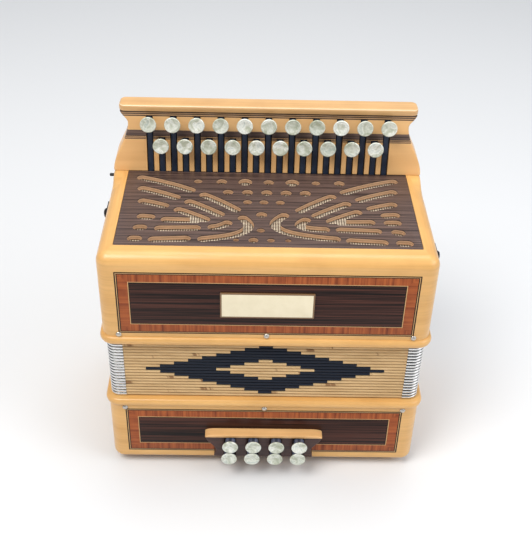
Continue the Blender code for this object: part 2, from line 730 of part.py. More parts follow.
def fret_rounds():
    """(x, y, radius) of the grille's round holes, row by row from the back."""
    rows = [(89.6, 0.9, 18.6, (3.3, 4.3, 5.5, 4.2, 5.5, 3.4, 4.3)), (74, -0.8, 15, (4.1, 4.4, 4.4, 4.4, 4.4)),
            (60, -3.1, 12.5, (3.5, 3.5, 3.5)), (42.5, -4.8, 0, (4.2,)), (21.3, -5.6, 0, (3,)),
            (8.6, -4.6, 12.6, (2.2, 3.6, 2.8, 2.2))]
    rounds = []
    for y, middle, pitch, radii in rows:
        for i, radius in enumerate(radii):
            x = middle + (i - (len(radii) - 1) / 2) * pitch
            rounds.append((*fret_place(x, y), radius * MM))
    return rounds


def mirrored_pairs(outlines):
    """The outlines and their mirror images across the middle."""
    return outlines + [[(-p[0], p[1]) for p in outline[::-1]] for outline in outlines]


def prisms_mesh(name, outlines, z0, z1):
    shape = bmesh.new()
    for outline in outlines:
        lower = [shape.verts.new((p[0], p[1], z0)) for p in outline]
        upper = [shape.verts.new((p[0], p[1], z1)) for p in outline]
        shape.faces.new(lower[::-1])
        shape.faces.new(upper)
        for i in range(len(outline)):
            j = (i + 1) % len(outline)
            shape.faces.new((lower[i], lower[j], upper[j], upper[i]))
    return mesh_from(name, shape)


def circle(x, y, radius, sides=14):
    angles = [2 * math.pi * i / sides for i in range(sides)]
    return [(x + radius * math.cos(a), y + radius * math.sin(a)) for a in angles]


def grille():
    low = TREBLE_TOP - GRILLE_T
    board = box_mesh("treble_grille", (-GRILLE_W / 2, GRILLE_Y0, low), (GRILLE_W / 2, GRILLE_Y1, TREBLE_TOP))
    plate = add("treble_grille", board, "dark_wood")
    both, own, meeting = fret_lines()
    bars = mirrored_pairs([bar_outline(line, FRET_W) for line in both])
    bars += [bar_outline(line, FRET_W) for line in own]
    rounds = mirrored_pairs([bar_outline(meeting, FRET_W)]) + [circle(*spot) for spot in fret_rounds()]
    for number, outlines in enumerate((bars, rounds), 1):
        cut(plate, prisms_mesh(f"fretwork_{number}", outlines, low - MM, TREBLE_TOP + MM))
    top = low - 2 * GAP
    half, y0 = GRILLE_W / 2 - GRILLE_LEDGE - GAP, GRILLE_Y0 + GRILLE_LEDGE
    add("grille_mesh", box_mesh("grille_mesh", (-half, y0, top - MESH_T), (half, GRILLE_Y1, top)), "mesh")


def board_front(up):
    return BOARD_FOOT_Y + up * math.tan(BOARD_LEAN)


def board_back(up):
    return BACK_Y - up * math.tan(BOARD_BACK_LEAN)


def ease(share):
    return share * share * (3 - 2 * share)


def board_half(up):
    """Half the fingerboard's width at a height above its foot: wide foot, waist, flared tip."""
    if up < BOARD_WAIST_UP:
        return CASE_W / 2 - BOARD_WAIST_IN * ease(up / BOARD_WAIST_UP)
    flare = ease((up - BOARD_WAIST_UP) / (BOARD_H - BOARD_WAIST_UP))
    return CASE_W / 2 - BOARD_WAIST_IN + (BOARD_WAIST_IN - BOARD_TIP_IN) * flare


def key_places():
    """(name, x, distance up the board, pallet y) of each treble key."""
    rows = [("outer", OUTER_KEYS, OUTER_UP, OUTER_PALLET_Y), ("inner", INNER_KEYS, INNER_UP, INNER_PALLET_Y)]
    return [(f"{row}_key_{i + 1}", (i - (count - 1) / 2) * KEY_PITCH, up, pallet)
            for row, count, up, pallet in rows for i in range(count)]


def fingerboard():
    heights = [*np.linspace(GAP, BOARD_WAIST_UP, 12), *np.linspace(BOARD_WAIST_UP, BOARD_H, 6)[1:]]

    def ring(depth, inset, behind):
        points = []
        for side, ups in ((1, heights), (-1, heights[::-1])):
            for up in ups:
                y = (board_back(up) - depth) if behind else (board_front(up) + depth)
                points.append((side * (board_half(up) - inset), y, TREBLE_TOP + up))
        return points

    edge = BOARD_EDGE
    levels = [(0, edge, False), (0.3 * edge, 0.3 * edge, False), (edge, 0, False),
              (edge, 0, True), (0.3 * edge, 0.3 * edge, True), (0, edge, True)]
    board = add("fingerboard", loft_mesh("fingerboard", [ring(*level) for level in levels]), "maple")
    turn = Matrix.Translation((0, BOARD_FOOT_Y, TREBLE_TOP)) @ Matrix.Rotation(-BOARD_LEAN, 4, "X")
    half = LEVER_W / 2 + SLOT_SIDE
    spans = [((x - half, -3 * MM, -2 * AXLE_DOWN), (x + half, SLOT_D, up + LEVER_PAST + SLOT_END))
             for _, x, up, _ in key_places()]
    slots = boxes_mesh("key_slots", spans)
    slots.transform(turn)
    cut(board, slots)
    low, high = BOARD_H + GAP, BOARD_H + GAP + CAP_H
    y0, y1 = board_front(BOARD_H) - CAP_OUT, board_back(BOARD_H) + CAP_OUT / 2
    half = CASE_W / 2 - BOARD_TIP_IN + CAP_OUT / 2
    levels = [(low, EDGE), (low + EDGE, 0), (high - CAP_ROUND, 0),
              (high - 0.3 * CAP_ROUND, 0.3 * CAP_ROUND), (high, CAP_ROUND)]
    rings = [rounded_ring(half - inset, y0 + inset, y1 - inset, CAP_CORNER, TREBLE_TOP + z)
             for z, inset in levels]
    add("fingerboard_cap", loft_mesh("fingerboard_cap", rings), "maple")


def key_mesh(name, up, pallet_y):
    """A treble key about its axle: leaning lever with its button, and a level arm with its pallet."""
    lean = Matrix.Rotation(-BOARD_LEAN, 4, "X")
    along = AXLE_DOWN / math.cos(BOARD_LEAN)
    face = -(LEVER_SUNK + LEVER_T / 2 + BUTTON_STAND)
    half = LEVER_W / 2
    lever = box_mesh("lever", (-half, -LEVER_T / 2, -MM), (half, LEVER_T / 2, along + up + LEVER_PAST))
    stem = rod_mesh("stem", STEM_R, -face - BUTTON_T + BURY, (0, (face + BUTTON_T) / 2, along + up), "y", 6)
    button = rod_mesh("button", BUTTON_R, BUTTON_T, (0, face + BUTTON_T / 2, along + up), "y", 16)
    for mesh in (lever, stem, button):
        mesh.transform(lean)
    boss = rod_mesh("boss", BOSS_R, LEVER_W, (0, 0, 0), "x", 10)
    floor = PALLET_BOARD_TOP - AXLE_Z
    low, reach = floor + ARM_UP, pallet_y - AXLE_Y
    thin, deep = half - ROOT_IN, BOSS_R - 4 * ROOT_IN
    web = box_mesh("web", (-thin, -deep, low + ROOT_IN), (thin, deep, -AXLE_R - ROOT_IN))
    arm = box_mesh("arm", (-ARM_W / 2, reach - POST_L, low), (ARM_W / 2, deep - ROOT_IN, low + ARM_H))
    thin, deep = ARM_W / 2 - ROOT_IN, POST_L - ROOT_IN
    top = floor + GAP + PALLET_T
    post = box_mesh("post", (-thin, reach - deep, top - BURY), (thin, reach + deep, low + BURY))
    pallet = box_mesh("pallet", (-PALLET_W / 2, reach - PALLET_L / 2, floor + GAP),
                      (PALLET_W / 2, reach + PALLET_L / 2, top))
    bore = rod_mesh("bore", AXLE_R + AXLE_FIT, 2 * LEVER_W, (0, 0, 0), "x", 8)
    return fused(name, [lever, stem, button, boss, web, arm, post, pallet], [bore])


def treble_action():
    shared = {}
    for name, x, up, pallet_y in key_places():
        if up not in shared:
            shared[up] = key_mesh(name.split("_")[0] + "_key", up, pallet_y)
        add(name, shared[up], "lever", (x, AXLE_Y, AXLE_Z))
    length = 2 * (INNER_W - LEDGE + AXLE_SEAT - GAP)
    add("treble_axle", rod_mesh("treble_axle", AXLE_R, length, (0, AXLE_Y, AXLE_Z), "x", 8), "steel")
    top = PALLET_BOARD_TOP
    board = add("treble_pallet_board", loft_mesh("treble_pallet_board", [inner_ring(GAP, top - BOARD_T),
                                                                        inner_ring(GAP, top)]), "plain_wood")
    half, deep = PALLET_W / 2 - PALLET_LAP, PALLET_L / 2 - PALLET_LAP
    holes = [((x - half, y - deep, top - BOARD_T - MM), (x + half, y + deep, top + MM))
             for _, x, _, y in key_places()]
    cut(board, boxes_mesh("pallet_holes", holes))
    high = top - BOARD_T - GAP
    length = (OUTER_KEYS - 1) * KEY_PITCH + PALLET_W + 2 * REED_END
    for number, row_y in enumerate((OUTER_PALLET_Y, INNER_PALLET_Y), 1):
        name = f"treble_reed_block_{number}"
        block = add(name, box_mesh(name, (-length / 2, row_y - REED_BLOCK_W / 2, high - REED_BLOCK_H),
                                   (length / 2, row_y + REED_BLOCK_W / 2, high)), "plain_wood")
        cells = [((x - half, y - deep, high - REED_BLOCK_H + REED_WALL), (x + half, y + deep, high + MM))
                 for _, x, _, y in key_places() if y == row_y]
        cut(block, boxes_mesh(f"reed_cells_{number}", cells))


def bracket_mesh(name, side):
    """A plate on the case's side with a wire bail that stands out of it."""
    x0 = side * (CASE_W / 2 + GAP)
    x1 = x0 + side * BRACKET_PLATE_T
    low, high = sorted((x0, x1))
    half_w, half_h = BRACKET_W / 2, BRACKET_H / 2
    plate = box_mesh("plate", (low, -half_w, -half_h), (high, half_w, half_h), 0.8 * EDGE, 1)
    reach = side * (CASE_W / 2 + SIDE_OUT - BRACKET_WIRE_R)
    wire = rod_mesh("bail", BRACKET_WIRE_R, BRACKET_BAIL_H, (reach, 0, 0), "z", 10)
    low, high = sorted((x1 - side * BURY, reach))
    thin, rise = 0.8 * BRACKET_WIRE_R, BRACKET_BAIL_H / 2 - BRACKET_WIRE_R
    ends = [box_mesh("end", (low, -thin, z - thin), (high, thin, z + thin)) for z in (-rise, rise)]
    return fused(name, [plate, wire] + ends)


def strap_fittings():
    for name, side, inward in (("left", -1, LEFT_BRACKET_IN), ("right", 1, RIGHT_BRACKET_IN)):
        full = f"strap_bracket_{name}"
        place = (0, FRONT_Y + inward, TREBLE_TOP - BRACKET_DOWN)
        add(full, bracket_mesh(full, side), "black_metal", place)
    length = SIDE_OUT - GAP
    x = -(CASE_W / 2 + GAP + length / 2)
    place = (x, BACK_Y - PEG_IN, TREBLE_TOP - PEG_DOWN)
    add("strap_peg", rod_mesh("strap_peg", PEG_R, length, place, "x", 16, EDGE), "black_metal")


bass_case()
bass_front()
bass_block()
bass_action()
end_plate_and_feet()
bellows_frame("bellows_frame_bass", BASS_TOP - FRAME_H)
bellows()
bellows_frame("bellows_frame_treble", TREBLE_Z + GAP)
treble_case()
front_panel("treble_front_inlay", TREBLE_Z + TREBLE_PANEL_LOW, TREBLE_PANEL_H)
name_plate()
grille()
fingerboard()
treble_action()
strap_fittings()
bpy.context.view_layer.update()
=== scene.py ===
import json
import math

import bmesh
import bpy
import numpy as np
from mathutils import Matrix, Vector

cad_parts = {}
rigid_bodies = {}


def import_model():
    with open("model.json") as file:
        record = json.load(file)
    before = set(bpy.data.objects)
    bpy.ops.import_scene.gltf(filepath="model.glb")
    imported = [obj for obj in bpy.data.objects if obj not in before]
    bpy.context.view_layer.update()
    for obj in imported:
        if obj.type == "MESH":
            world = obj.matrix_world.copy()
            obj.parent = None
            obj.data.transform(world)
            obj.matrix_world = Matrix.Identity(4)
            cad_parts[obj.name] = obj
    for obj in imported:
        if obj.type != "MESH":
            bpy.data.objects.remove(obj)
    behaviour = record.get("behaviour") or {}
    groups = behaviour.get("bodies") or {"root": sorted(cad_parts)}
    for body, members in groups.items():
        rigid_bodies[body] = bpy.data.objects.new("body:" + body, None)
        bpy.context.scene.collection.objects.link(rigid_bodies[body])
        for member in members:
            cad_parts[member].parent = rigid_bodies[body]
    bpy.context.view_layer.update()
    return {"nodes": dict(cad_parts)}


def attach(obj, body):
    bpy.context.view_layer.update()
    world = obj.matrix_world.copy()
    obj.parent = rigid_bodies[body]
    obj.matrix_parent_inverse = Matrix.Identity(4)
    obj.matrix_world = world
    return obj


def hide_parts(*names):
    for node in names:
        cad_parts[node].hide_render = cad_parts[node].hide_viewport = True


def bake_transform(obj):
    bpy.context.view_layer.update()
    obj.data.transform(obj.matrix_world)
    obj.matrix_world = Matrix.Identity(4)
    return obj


mm = 0.001
crease = math.radians(38)

for old in list(bpy.data.objects):
    bpy.data.objects.remove(old)
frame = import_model()
print("frame loaded")


# ---- meshes ----

# Distances summed along a row of points, starting at 0 and ending back at the first point.
def runLength(points):
    steps = np.linalg.norm(np.diff(points, axis=0, append=points[:1]), axis=-1)
    return np.concatenate([[0], np.cumsum(steps)])


# A skin over a grid of points in mm (rows x columns x 3). Its uv is the distance along the first row and
# down the first column, in metres, unless u and v are given. Caps close the two end rows.
def skin(points, closeRows=False, closeCols=False, caps=False, slot=0, u=None, v=None):
    points = points * mm
    rows, cols = points.shape[:2]
    u = runLength(points[0]) if u is None else np.asarray(u, float)
    v = runLength(points[:, 0]) if v is None else np.asarray(v, float)
    r = np.arange(rows if closeRows else rows - 1)[:, None]
    c = np.arange(cols if closeCols else cols - 1)[None, :]
    corners = [(r, c), (r, c + 1), (r + 1, c + 1), (r + 1, c)]
    quads = np.stack([(i % rows) * cols + j % cols for i, j in corners], -1).reshape(-1, 4)
    uv = np.stack([np.stack([u[j] + 0 * i, v[i] + 0 * j], -1) for i, j in corners], -2).reshape(-1, 2)
    faces = quads.tolist()
    if caps:
        ends = [np.arange(cols)[::-1], (rows - 1) * cols + np.arange(cols)]
        flat = points.reshape(-1, 3)
        faces += [end.tolist() for end in ends]
        endUV = [np.stack([flat[end, 0], flat[end, 1] + flat[end, 2]], -1) for end in ends]
        uv = np.concatenate([uv] + endUV)
    return {"points": points.reshape(-1, 3), "faces": faces, "uv": uv, "slot": slot}


# Joins shapes into one mesh with outward normals, smooth but for edges sharper than the crease.
def meshOf(name, shapes):
    faces, slots, first = [], [], 0
    for shape in shapes:
        faces += [[first + i for i in face] for face in shape["faces"]]
        slots += [shape["slot"]] * len(shape["faces"])
        first += len(shape["points"])
    mesh = bpy.data.meshes.new(name)
    mesh.from_pydata(np.concatenate([shape["points"] for shape in shapes]).tolist(), [], faces)
    uv = np.concatenate([shape["uv"] for shape in shapes])
    mesh.uv_layers.new(name="grain").data.foreach_set("uv", uv.ravel())
    mesh.polygons.foreach_set("material_index", slots)
    work = bmesh.new()
    work.from_mesh(mesh)
    bmesh.ops.remove_doubles(work, verts=work.verts, dist=1e-7)
    bmesh.ops.recalc_face_normals(work, faces=work.faces)
    work.to_mesh(mesh)
    work.free()
    mesh.shade_smooth()
    mesh.set_sharp_from_angle(angle=crease)
    return mesh


def piece(name, shapes, materials, body=None, stands=()):
    mesh = shapes if isinstance(shapes, bpy.types.Mesh) else meshOf(name, shapes)
    painted = np.empty(len(mesh.polygons), int)
    mesh.polygons.foreach_get("material_index", painted)
    mesh.materials.clear()
    for material in materials:
        mesh.materials.append(material)
    mesh.polygons.foreach_set("material_index", painted)
    made = bpy.data.objects.new(name, mesh)
    bpy.context.scene.collection.objects.link(made)
    if body:
        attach(made, body)
    if stands:
        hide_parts(*stands)
    return made


# The first mesh less the second, solved exactly.
def carved(name, mesh, cutter):
    block, tool = bpy.data.objects.new(name, mesh), bpy.data.objects.new(name + "Cutter", cutter)
    for obj in (block, tool):
        bpy.context.scene.collection.objects.link(obj)
    change = block.modifiers.new("carve", "BOOLEAN")
    change.operation, change.solver, change.object = "DIFFERENCE", "EXACT", tool
    graph = bpy.context.evaluated_depsgraph_get()
    result = bpy.data.meshes.new_from_object(block.evaluated_get(graph))
    for obj in (block, tool):
        bpy.data.objects.remove(obj)
    result.name = name
    result.shade_smooth()
    result.set_sharp_from_angle(angle=crease)
    return result


# Level rounded rectangles, one a row: a point is its corner's centre plus the corner's radius times
# (cos, sin) of a turn that goes once round.
def rings(halfX, y0, y1, radius, z, steps=9):
    turn = np.concatenate([np.linspace(0, 0.5, steps) + quarter / 2 for quarter in range(4)]) * math.pi
    signX, signY = np.repeat([1, -1, -1, 1], steps), np.repeat([1, 1, -1, -1], steps)
    rows = np.broadcast_arrays(*(np.asarray(value, float) for value in (halfX, y0, y1, radius, z)))
    halfX, y0, y1, radius, z = (value.reshape(-1, 1) for value in rows)
    x = signX * (halfX - radius) + radius * np.cos(turn)
    y = (y0 + y1) / 2 + signY * ((y1 - y0) / 2 - radius) + radius * np.sin(turn)
    return np.stack([x, y, z + 0 * x], -1)


# A box with rounded upright corners and rounded rims: the rings draw in by rim x (1 - cos) as they rise by
# rim x sin of a quarter turn, at both ends. Upright slabs face the front: their z becomes -y.
def slab(low, high, corner, rim, slot=0, upright=False, steps=5):
    low, high = np.array(low, float), np.array(high, float)
    if upright:
        low, high = low[[0, 2, 1]] * (1, 1, -1), high[[0, 2, 1]] * (1, 1, -1)
        low[2], high[2] = high[2], low[2]
    turn = np.linspace(0, math.pi / 2, steps)
    inset = rim * (1 - np.sin(turn))
    rise = rim * (1 - np.cos(turn))
    inset = np.concatenate([inset, inset[::-1]])
    z = np.concatenate([low[2] + rise, high[2] - rise[::-1]])
    middle, half = (low + high) / 2, (high - low) / 2
    points = rings(half[0] - inset, low[1] + inset, high[1] - inset, np.maximum(corner - inset, rim / 4), z)
    points = points + (middle[0], 0, 0)
    if upright:
        points = points[..., [0, 2, 1]] * (1, -1, 1)
    return skin(points, closeCols=True, caps=True, slot=slot)


# A turned shape: each (radius, height) of the profile goes once round the axis.
def turned(profile, centre, axis, sides=40, slot=0, closeRows=False):
    radius, height = np.array(profile, float).T[:, :, None, None]
    axis = np.array(axis, float) / np.linalg.norm(axis)
    across = np.cross(axis, (0.0, 0.0, 1.0) if abs(axis[2]) < 0.9 else (1.0, 0.0, 0.0))
    across = across / np.linalg.norm(across)
    turn = np.linspace(0, 2 * math.pi, sides, endpoint=False)[None, :, None]
    points = np.array(centre, float) + height * axis
    points = points + radius * (np.cos(turn) * across + np.sin(turn) * np.cross(axis, across))
    return skin(points, closeRows=closeRows, closeCols=True, slot=slot)


def moved(shape, matrix):
    matrix = np.array(matrix, float)
    return {**shape, "points": shape["points"] @ matrix[:3, :3].T + matrix[:3, 3]}


# ---- shader nodes ----

# A node with its inputs filled: a socket is linked, anything else is set.
def node(tree, kind, inputs=None, **settings):
    made = tree.nodes.new("ShaderNode" + kind)
    for name, value in settings.items():
        setattr(made, name, value)
    for name, value in (inputs or {}).items():
        if isinstance(value, bpy.types.NodeSocket):
            tree.links.new(value, made.inputs[name])
        else:
            made.inputs[name].default_value = value
    return made


def math2(tree, operation, a, b=0.0):
    return node(tree, "Math", {0: a, 1: b}, operation=operation).outputs[0]


def ramp(tree, factor, stops, interpolation="LINEAR"):
    made = node(tree, "ValToRGB", {"Fac": factor})
    elements = made.color_ramp.elements
    made.color_ramp.interpolation = interpolation
    while len(elements) < len(stops):
        elements.new(1)
    for element, (position, colour) in zip(elements, stops):
        element.position, element.color = position, (*colour, 1)
    return made.outputs[0]


def mixed(tree, factor, a, b, blend="MIX"):
    made = node(tree, "Mix", data_type="RGBA", blend_type=blend)
    for name, value in ((0, factor), (6, a), (7, b)):
        if isinstance(value, bpy.types.NodeSocket):
            tree.links.new(value, made.inputs[name])
        else:
            made.inputs[name].default_value = value if name == 0 else (*value, 1)
    return made.outputs[2]


# A colour multiplied by a ramp of the value.
def shaded(tree, colour, value, stops):
    return mixed(tree, 1.0, colour, ramp(tree, value, stops), "MULTIPLY")


def noise(tree, vector, scale, detail, **inputs):
    inputs = {"Vector": vector, "Scale": scale, "Detail": detail, **inputs}
    return node(tree, "TexNoise", inputs).outputs["Fac"]


def newGroup(name, inputs, outputs):
    group = bpy.data.node_groups.new(name, "ShaderNodeTree")
    for way, sockets in (("INPUT", inputs), ("OUTPUT", outputs)):
        for title, kind, *value in sockets:
            made = group.interface.new_socket(name=title, in_out=way, socket_type="NodeSocket" + kind)
            if value:
                made.default_value = value[0]
    return group, group.nodes.new("NodeGroupInput").outputs, group.nodes.new("NodeGroupOutput").inputs


def grouped(tree, group, inputs):
    made = tree.nodes.new("ShaderNodeGroup")
    made.node_tree = group
    for name, value in inputs.items():
        if isinstance(value, bpy.types.NodeSocket):
            tree.links.new(value, made.inputs[name])
        else:
            made.inputs[name].default_value = value
    return made.outputs


# Wood figure along the vector's first axis: broad streaks and fine fibres.
def makeGrain():
    tree, given, out = newGroup(
        "woodGrain",
        [("Vector", "Vector"), ("Length", "Float", 0.08), ("Width", "Float", 0.004), ("Waver", "Float", 0.4)],
        [("Streak", "Float"), ("Fibre", "Float"), ("Height", "Float")])
    longways = math2(tree, "DIVIDE", 1.0, given["Length"])
    across = math2(tree, "DIVIDE", 1.0, given["Width"])
    scale = node(tree, "CombineXYZ", {0: longways, 1: across, 2: across}).outputs[0]
    broad = node(tree, "VectorMath", {0: given["Vector"], 1: scale}, operation="MULTIPLY").outputs[0]
    fine = node(tree, "VectorMath", {0: broad, 1: (2.2, 7.0, 7.0)}, operation="MULTIPLY").outputs[0]
    streak = noise(tree, broad, 1.0, 4.0, Roughness=0.55, Distortion=given["Waver"])
    fibre = noise(tree, fine, 1.0, 3.0, Roughness=0.6)
    tree.links.new(streak, out["Streak"])
    tree.links.new(fibre, out["Fibre"])
    tree.links.new(math2(tree, "MULTIPLY_ADD", fibre, 0.7), out["Height"])
    return tree


# Handling marks: a soft cloudy value about 0.5, for roughness and tone.
def makeHandling():
    tree, given, out = newGroup(
        "handling", [("Vector", "Vector"), ("Size", "Float", 0.03)], [("Mask", "Float")])
    scale = math2(tree, "DIVIDE", 1.0, given["Size"])
    tree.links.new(noise(tree, given["Vector"], scale, 5.0, Roughness=0.6), out["Mask"])
    return tree


# Distance to the nearest edge of a rectangle, and 1 where that edge is an upright one.
def makeBorder():
    tree, given, out = newGroup(
        "border", [("U", "Float"), ("V", "Float"), ("Half U", "Float"), ("Half V", "Float")],
        [("Distance", "Float"), ("Upright", "Float")])
    sideways = math2(tree, "SUBTRACT", given["Half U"], math2(tree, "ABSOLUTE", given["U"]))
    upward = math2(tree, "SUBTRACT", given["Half V"], math2(tree, "ABSOLUTE", given["V"]))
    tree.links.new(math2(tree, "MINIMUM", sideways, upward), out["Distance"])
    tree.links.new(math2(tree, "LESS_THAN", sideways, upward), out["Upright"])
    return tree


grain, handling, border = makeGrain(), makeHandling(), makeBorder()


def shader(name, **values):
    made = bpy.data.materials.new(name)
    made.use_nodes = True
    surface = made.node_tree.nodes["Principled BSDF"]
    for title, value in values.items():
        surface.inputs[title.replace("_", " ")].default_value = value
    return made, made.node_tree, surface


def place(tree, uv=False):
    return node(tree, "TexCoord").outputs["UV" if uv else "Object"]


def bumped(surface, height, strength, distance):
    tree = surface.id_data
    made = node(tree, "Bump", {"Height": height, "Strength": strength, "Distance": distance})
    tree.links.new(made.outputs[0], surface.inputs["Normal"])


def coloured(surface, colour):
    surface.id_data.links.new(colour, surface.inputs["Base Color"])


# Roughness from low to high as the mask goes from 0 to 1.
def roughened(surface, mask, low, high):
    tree = surface.id_data
    rough = node(tree, "MapRange", {0: mask, 3: low, 4: high}).outputs[0]
    tree.links.new(rough, surface.inputs["Roughness"])


# A plain finish, mottled between two tones by handling marks.
def mottled(name, size, tones, rough=None, bump=(0.1, 0.1), uv=False, **values):
    made, tree, surface = shader(name, **values)
    marks = grouped(tree, handling, {"Vector": place(tree, uv), "Size": size})["Mask"]
    coloured(surface, ramp(tree, marks, tones))
    if rough:
        roughened(surface, marks, *rough)
    bumped(surface, marks, bump[0], bump[1] * mm)
    return made


# Varnished wood: two tones mixed by the streaks, darker fibres, a little bump and uneven gloss.
def woodMaterial(name, look, uv=False):
    made, tree, surface = shader(name, Coat_Weight=look.get("coat", 0.12), Coat_Roughness=0.2,
                                 Specular_IOR_Level=look.get("gloss", 0.4))
    vector = place(tree, uv)
    figure = grouped(tree, grain, {"Vector": vector, "Length": look["length"], "Width": look["width"],
                                   "Waver": look.get("waver", 0.4)})
    marks = grouped(tree, handling, {"Vector": vector, "Size": look.get("marks", 0.03)})["Mask"]
    spread = look.get("spread", 0.2)
    tone = ramp(tree, figure["Streak"], [(0.5 - spread, look["dark"]), (0.5 + spread, look["light"])])
    tone = shaded(tree, tone, figure["Fibre"], [(0.35, (look["fibre"],) * 3), (0.6, (1, 1, 1))])
    coloured(surface, shaded(tree, tone, marks, [(0.3, (0.9, 0.88, 0.86)), (0.65, (1, 1, 1))]))
    roughened(surface, marks, look["rough"] - 0.07, look["rough"] + 0.1)
    bumped(surface, figure["Height"], look.get("bump", 0.25), 0.15 * mm)
    return made


mapleLook = {"light": (0.82, 0.475, 0.165), "dark": (0.68, 0.36, 0.105), "fibre": 0.92, "length": 0.16,
             "width": 0.012, "spread": 0.25, "rough": 0.34, "bump": 0.12, "coat": 0.3}
maple = woodMaterial("maple", mapleLook, uv=True)
mapleEdge = woodMaterial("mapleEdge", mapleLook)
boardLook = dict(mapleLook, light=(0.84, 0.505, 0.215), dark=(0.70, 0.385, 0.15))
mapleBoard = woodMaterial("mapleBoard", boardLook)
plainLook = {"light": (0.62, 0.44, 0.26), "dark": (0.47, 0.31, 0.17), "fibre": 0.8, "length": 0.06,
             "width": 0.004, "rough": 0.6, "coat": 0.0}
plainWood = woodMaterial("plainWood", plainLook)
rosewoodLook = {"light": (0.185, 0.115, 0.094), "dark": (0.036, 0.020, 0.018), "fibre": 0.5,
                "length": 0.12, "width": 0.0014, "spread": 0.13, "rough": 0.42, "coat": 0.05,
                "waver": 0.25, "bump": 0.4}
rosewood = woodMaterial("rosewood", rosewoodLook)
print("wood materials")


# ---- cases ----

trebleCase = {"half": 123, "front": -69, "back": 77, "low": 130, "high": 210, "corner": 9, "bead": 6.8,
              "beadOut": 2.4, "round": 9, "wall": 8, "opening": (111.3, -54.6, 66), "shelf": 205.7,
              "lip": 6, "ledge": 3, "step": 184.3}
bassCase = {"half": 123, "front": -69, "back": 77, "low": 6, "high": 73.5, "corner": 9, "bead": 6.8,
            "beadOut": 2.4, "round": 6, "wall": 8, "mouth": 2.7, "shelf": 10.3, "ledge": 3}


# Rings drawn in from the case's outline, or out where the inset is negative.
def caseRings(case, inset, z):
    inset = np.asarray(inset, float)
    radius = np.maximum(case["corner"] - inset, 1)
    return rings(case["half"] - inset, case["front"] + inset, case["back"] - inset, radius, z)


# A half-round bead: out by beadOut x cos, up by half its height x (1 + sin), the turn going from -90 to 90.
def beadRings(case, z0):
    turn = np.linspace(-math.pi / 2, math.pi / 2, 13)
    return caseRings(case, -case["beadOut"] * np.cos(turn), z0 + case["bead"] / 2 * (1 + np.sin(turn)))


# A quarter round: in by radius x (1 - cos), on by radius x sin of a quarter turn.
def edgeRings(case, z0, way):
    turn = np.linspace(0, math.pi / 2, 11)
    return caseRings(case, case["round"] * (1 - np.cos(turn)), z0 + way * case["round"] * np.sin(turn))


def innerRings(case, inset, z):
    wall = case["wall"] + inset
    return rings(case["half"] - wall, case["front"] + wall, case["back"] - wall, 2, z)


def trebleShell(case):
    half, y0, y1 = case["opening"]
    lip, shelf, ledge = case["lip"], case["shelf"], case["ledge"]
    return np.concatenate([
        beadRings(case, case["low"]), edgeRings(case, case["high"] - case["round"], 1),
        rings(half, y0, y1, 1, [case["high"], shelf]),
        rings(half - lip, y0 + lip, y1 - 1, 1, [shelf, shelf - ledge]),
        innerRings(case, ledge, shelf - ledge), innerRings(case, ledge, case["step"]),
        innerRings(case, 0, case["step"]), innerRings(case, 0, case["low"])])


def bassShell(case):
    mouth, shelf, ledge = case["mouth"], case["shelf"], case["ledge"]
    return np.concatenate([
        innerRings(case, mouth, case["low"]), edgeRings(case, case["low"] + case["round"], -1)[::-1],
        beadRings(case, case["high"] - case["bead"]), innerRings(case, 0, case["high"]),
        innerRings(case, 0, shelf + ledge), innerRings(case, mouth + ledge, shelf + ledge),
        innerRings(case, mouth + ledge, shelf), innerRings(case, mouth, shelf)])


piece("trebleCaseWood", [skin(trebleShell(trebleCase), True, True)], [maple], "treble_end",
      ["treble_case"])

# The case's edge turns square beside the fingerboard: a quarter circle whose radius grows, by a smooth step
# along the side, to 1 / (cos^10 + sin^10)^0.1 of itself.
ear = {"front": 22, "full": 50, "back": 68, "sunk": 0.008, "power": 10}


def earSkin(side):
    y = np.linspace(ear["front"], ear["back"], 25)[:, None]
    share = np.clip((y - ear["front"]) / (ear["full"] - ear["front"]), 0, 1)
    share = share * share * (3 - 2 * share)
    turn = np.linspace(0, math.pi / 2, 19)
    square = (np.cos(turn) ** ear["power"] + np.sin(turn) ** ear["power"]) ** (-1 / ear["power"])
    outer = 1 - share + share * square - ear["sunk"]
    radius = trebleCase["round"] * np.concatenate([outer, np.full(outer.shape, 0.9)], axis=1)
    turn = np.concatenate([turn, turn[::-1]])
    x = side * (trebleCase["half"] - trebleCase["round"] + radius * np.cos(turn))
    z = trebleCase["high"] - trebleCase["round"] + radius * np.sin(turn)
    return skin(np.stack([x, y + 0 * x, z], -1), closeCols=True, caps=True)


piece("caseEars", [earSkin(-1), earSkin(1)], [mapleEdge], "treble_end")
piece("bassCaseWood", [skin(bassShell(bassCase), True, True)], [maple], "bass_end",
      ["bass_case"])
print("cases")


# ---- inlaid front panels and name plate ----

# Borders from the edge inwards, as (where each starts in mm, its colour); the middle is dark veneer.
inlay = {"half": 110, "front": -69.12, "back": -68.4, "darkLine": (0.018, 0.008, 0.004),
         "lightLine": (0.62, 0.38, 0.17), "band": ((0.13, 0.022, 0.010), (0.40, 0.105, 0.030)),
         "lines": (0.0, 0.85, 1.3, 2.0, 8.4, 8.9, 9.5), "upright": 0.9, "stripe": 3.4 * mm,
         "heart": ((0.006, 0.003, 0.0025), (0.088, 0.030, 0.020))}
panels = {"trebleInlay": (140.7, 196.6, "treble_end", "treble_front_inlay"),
          "bassInlay": (15.7, 62.4, "bass_end", "bass_front_inlay")}


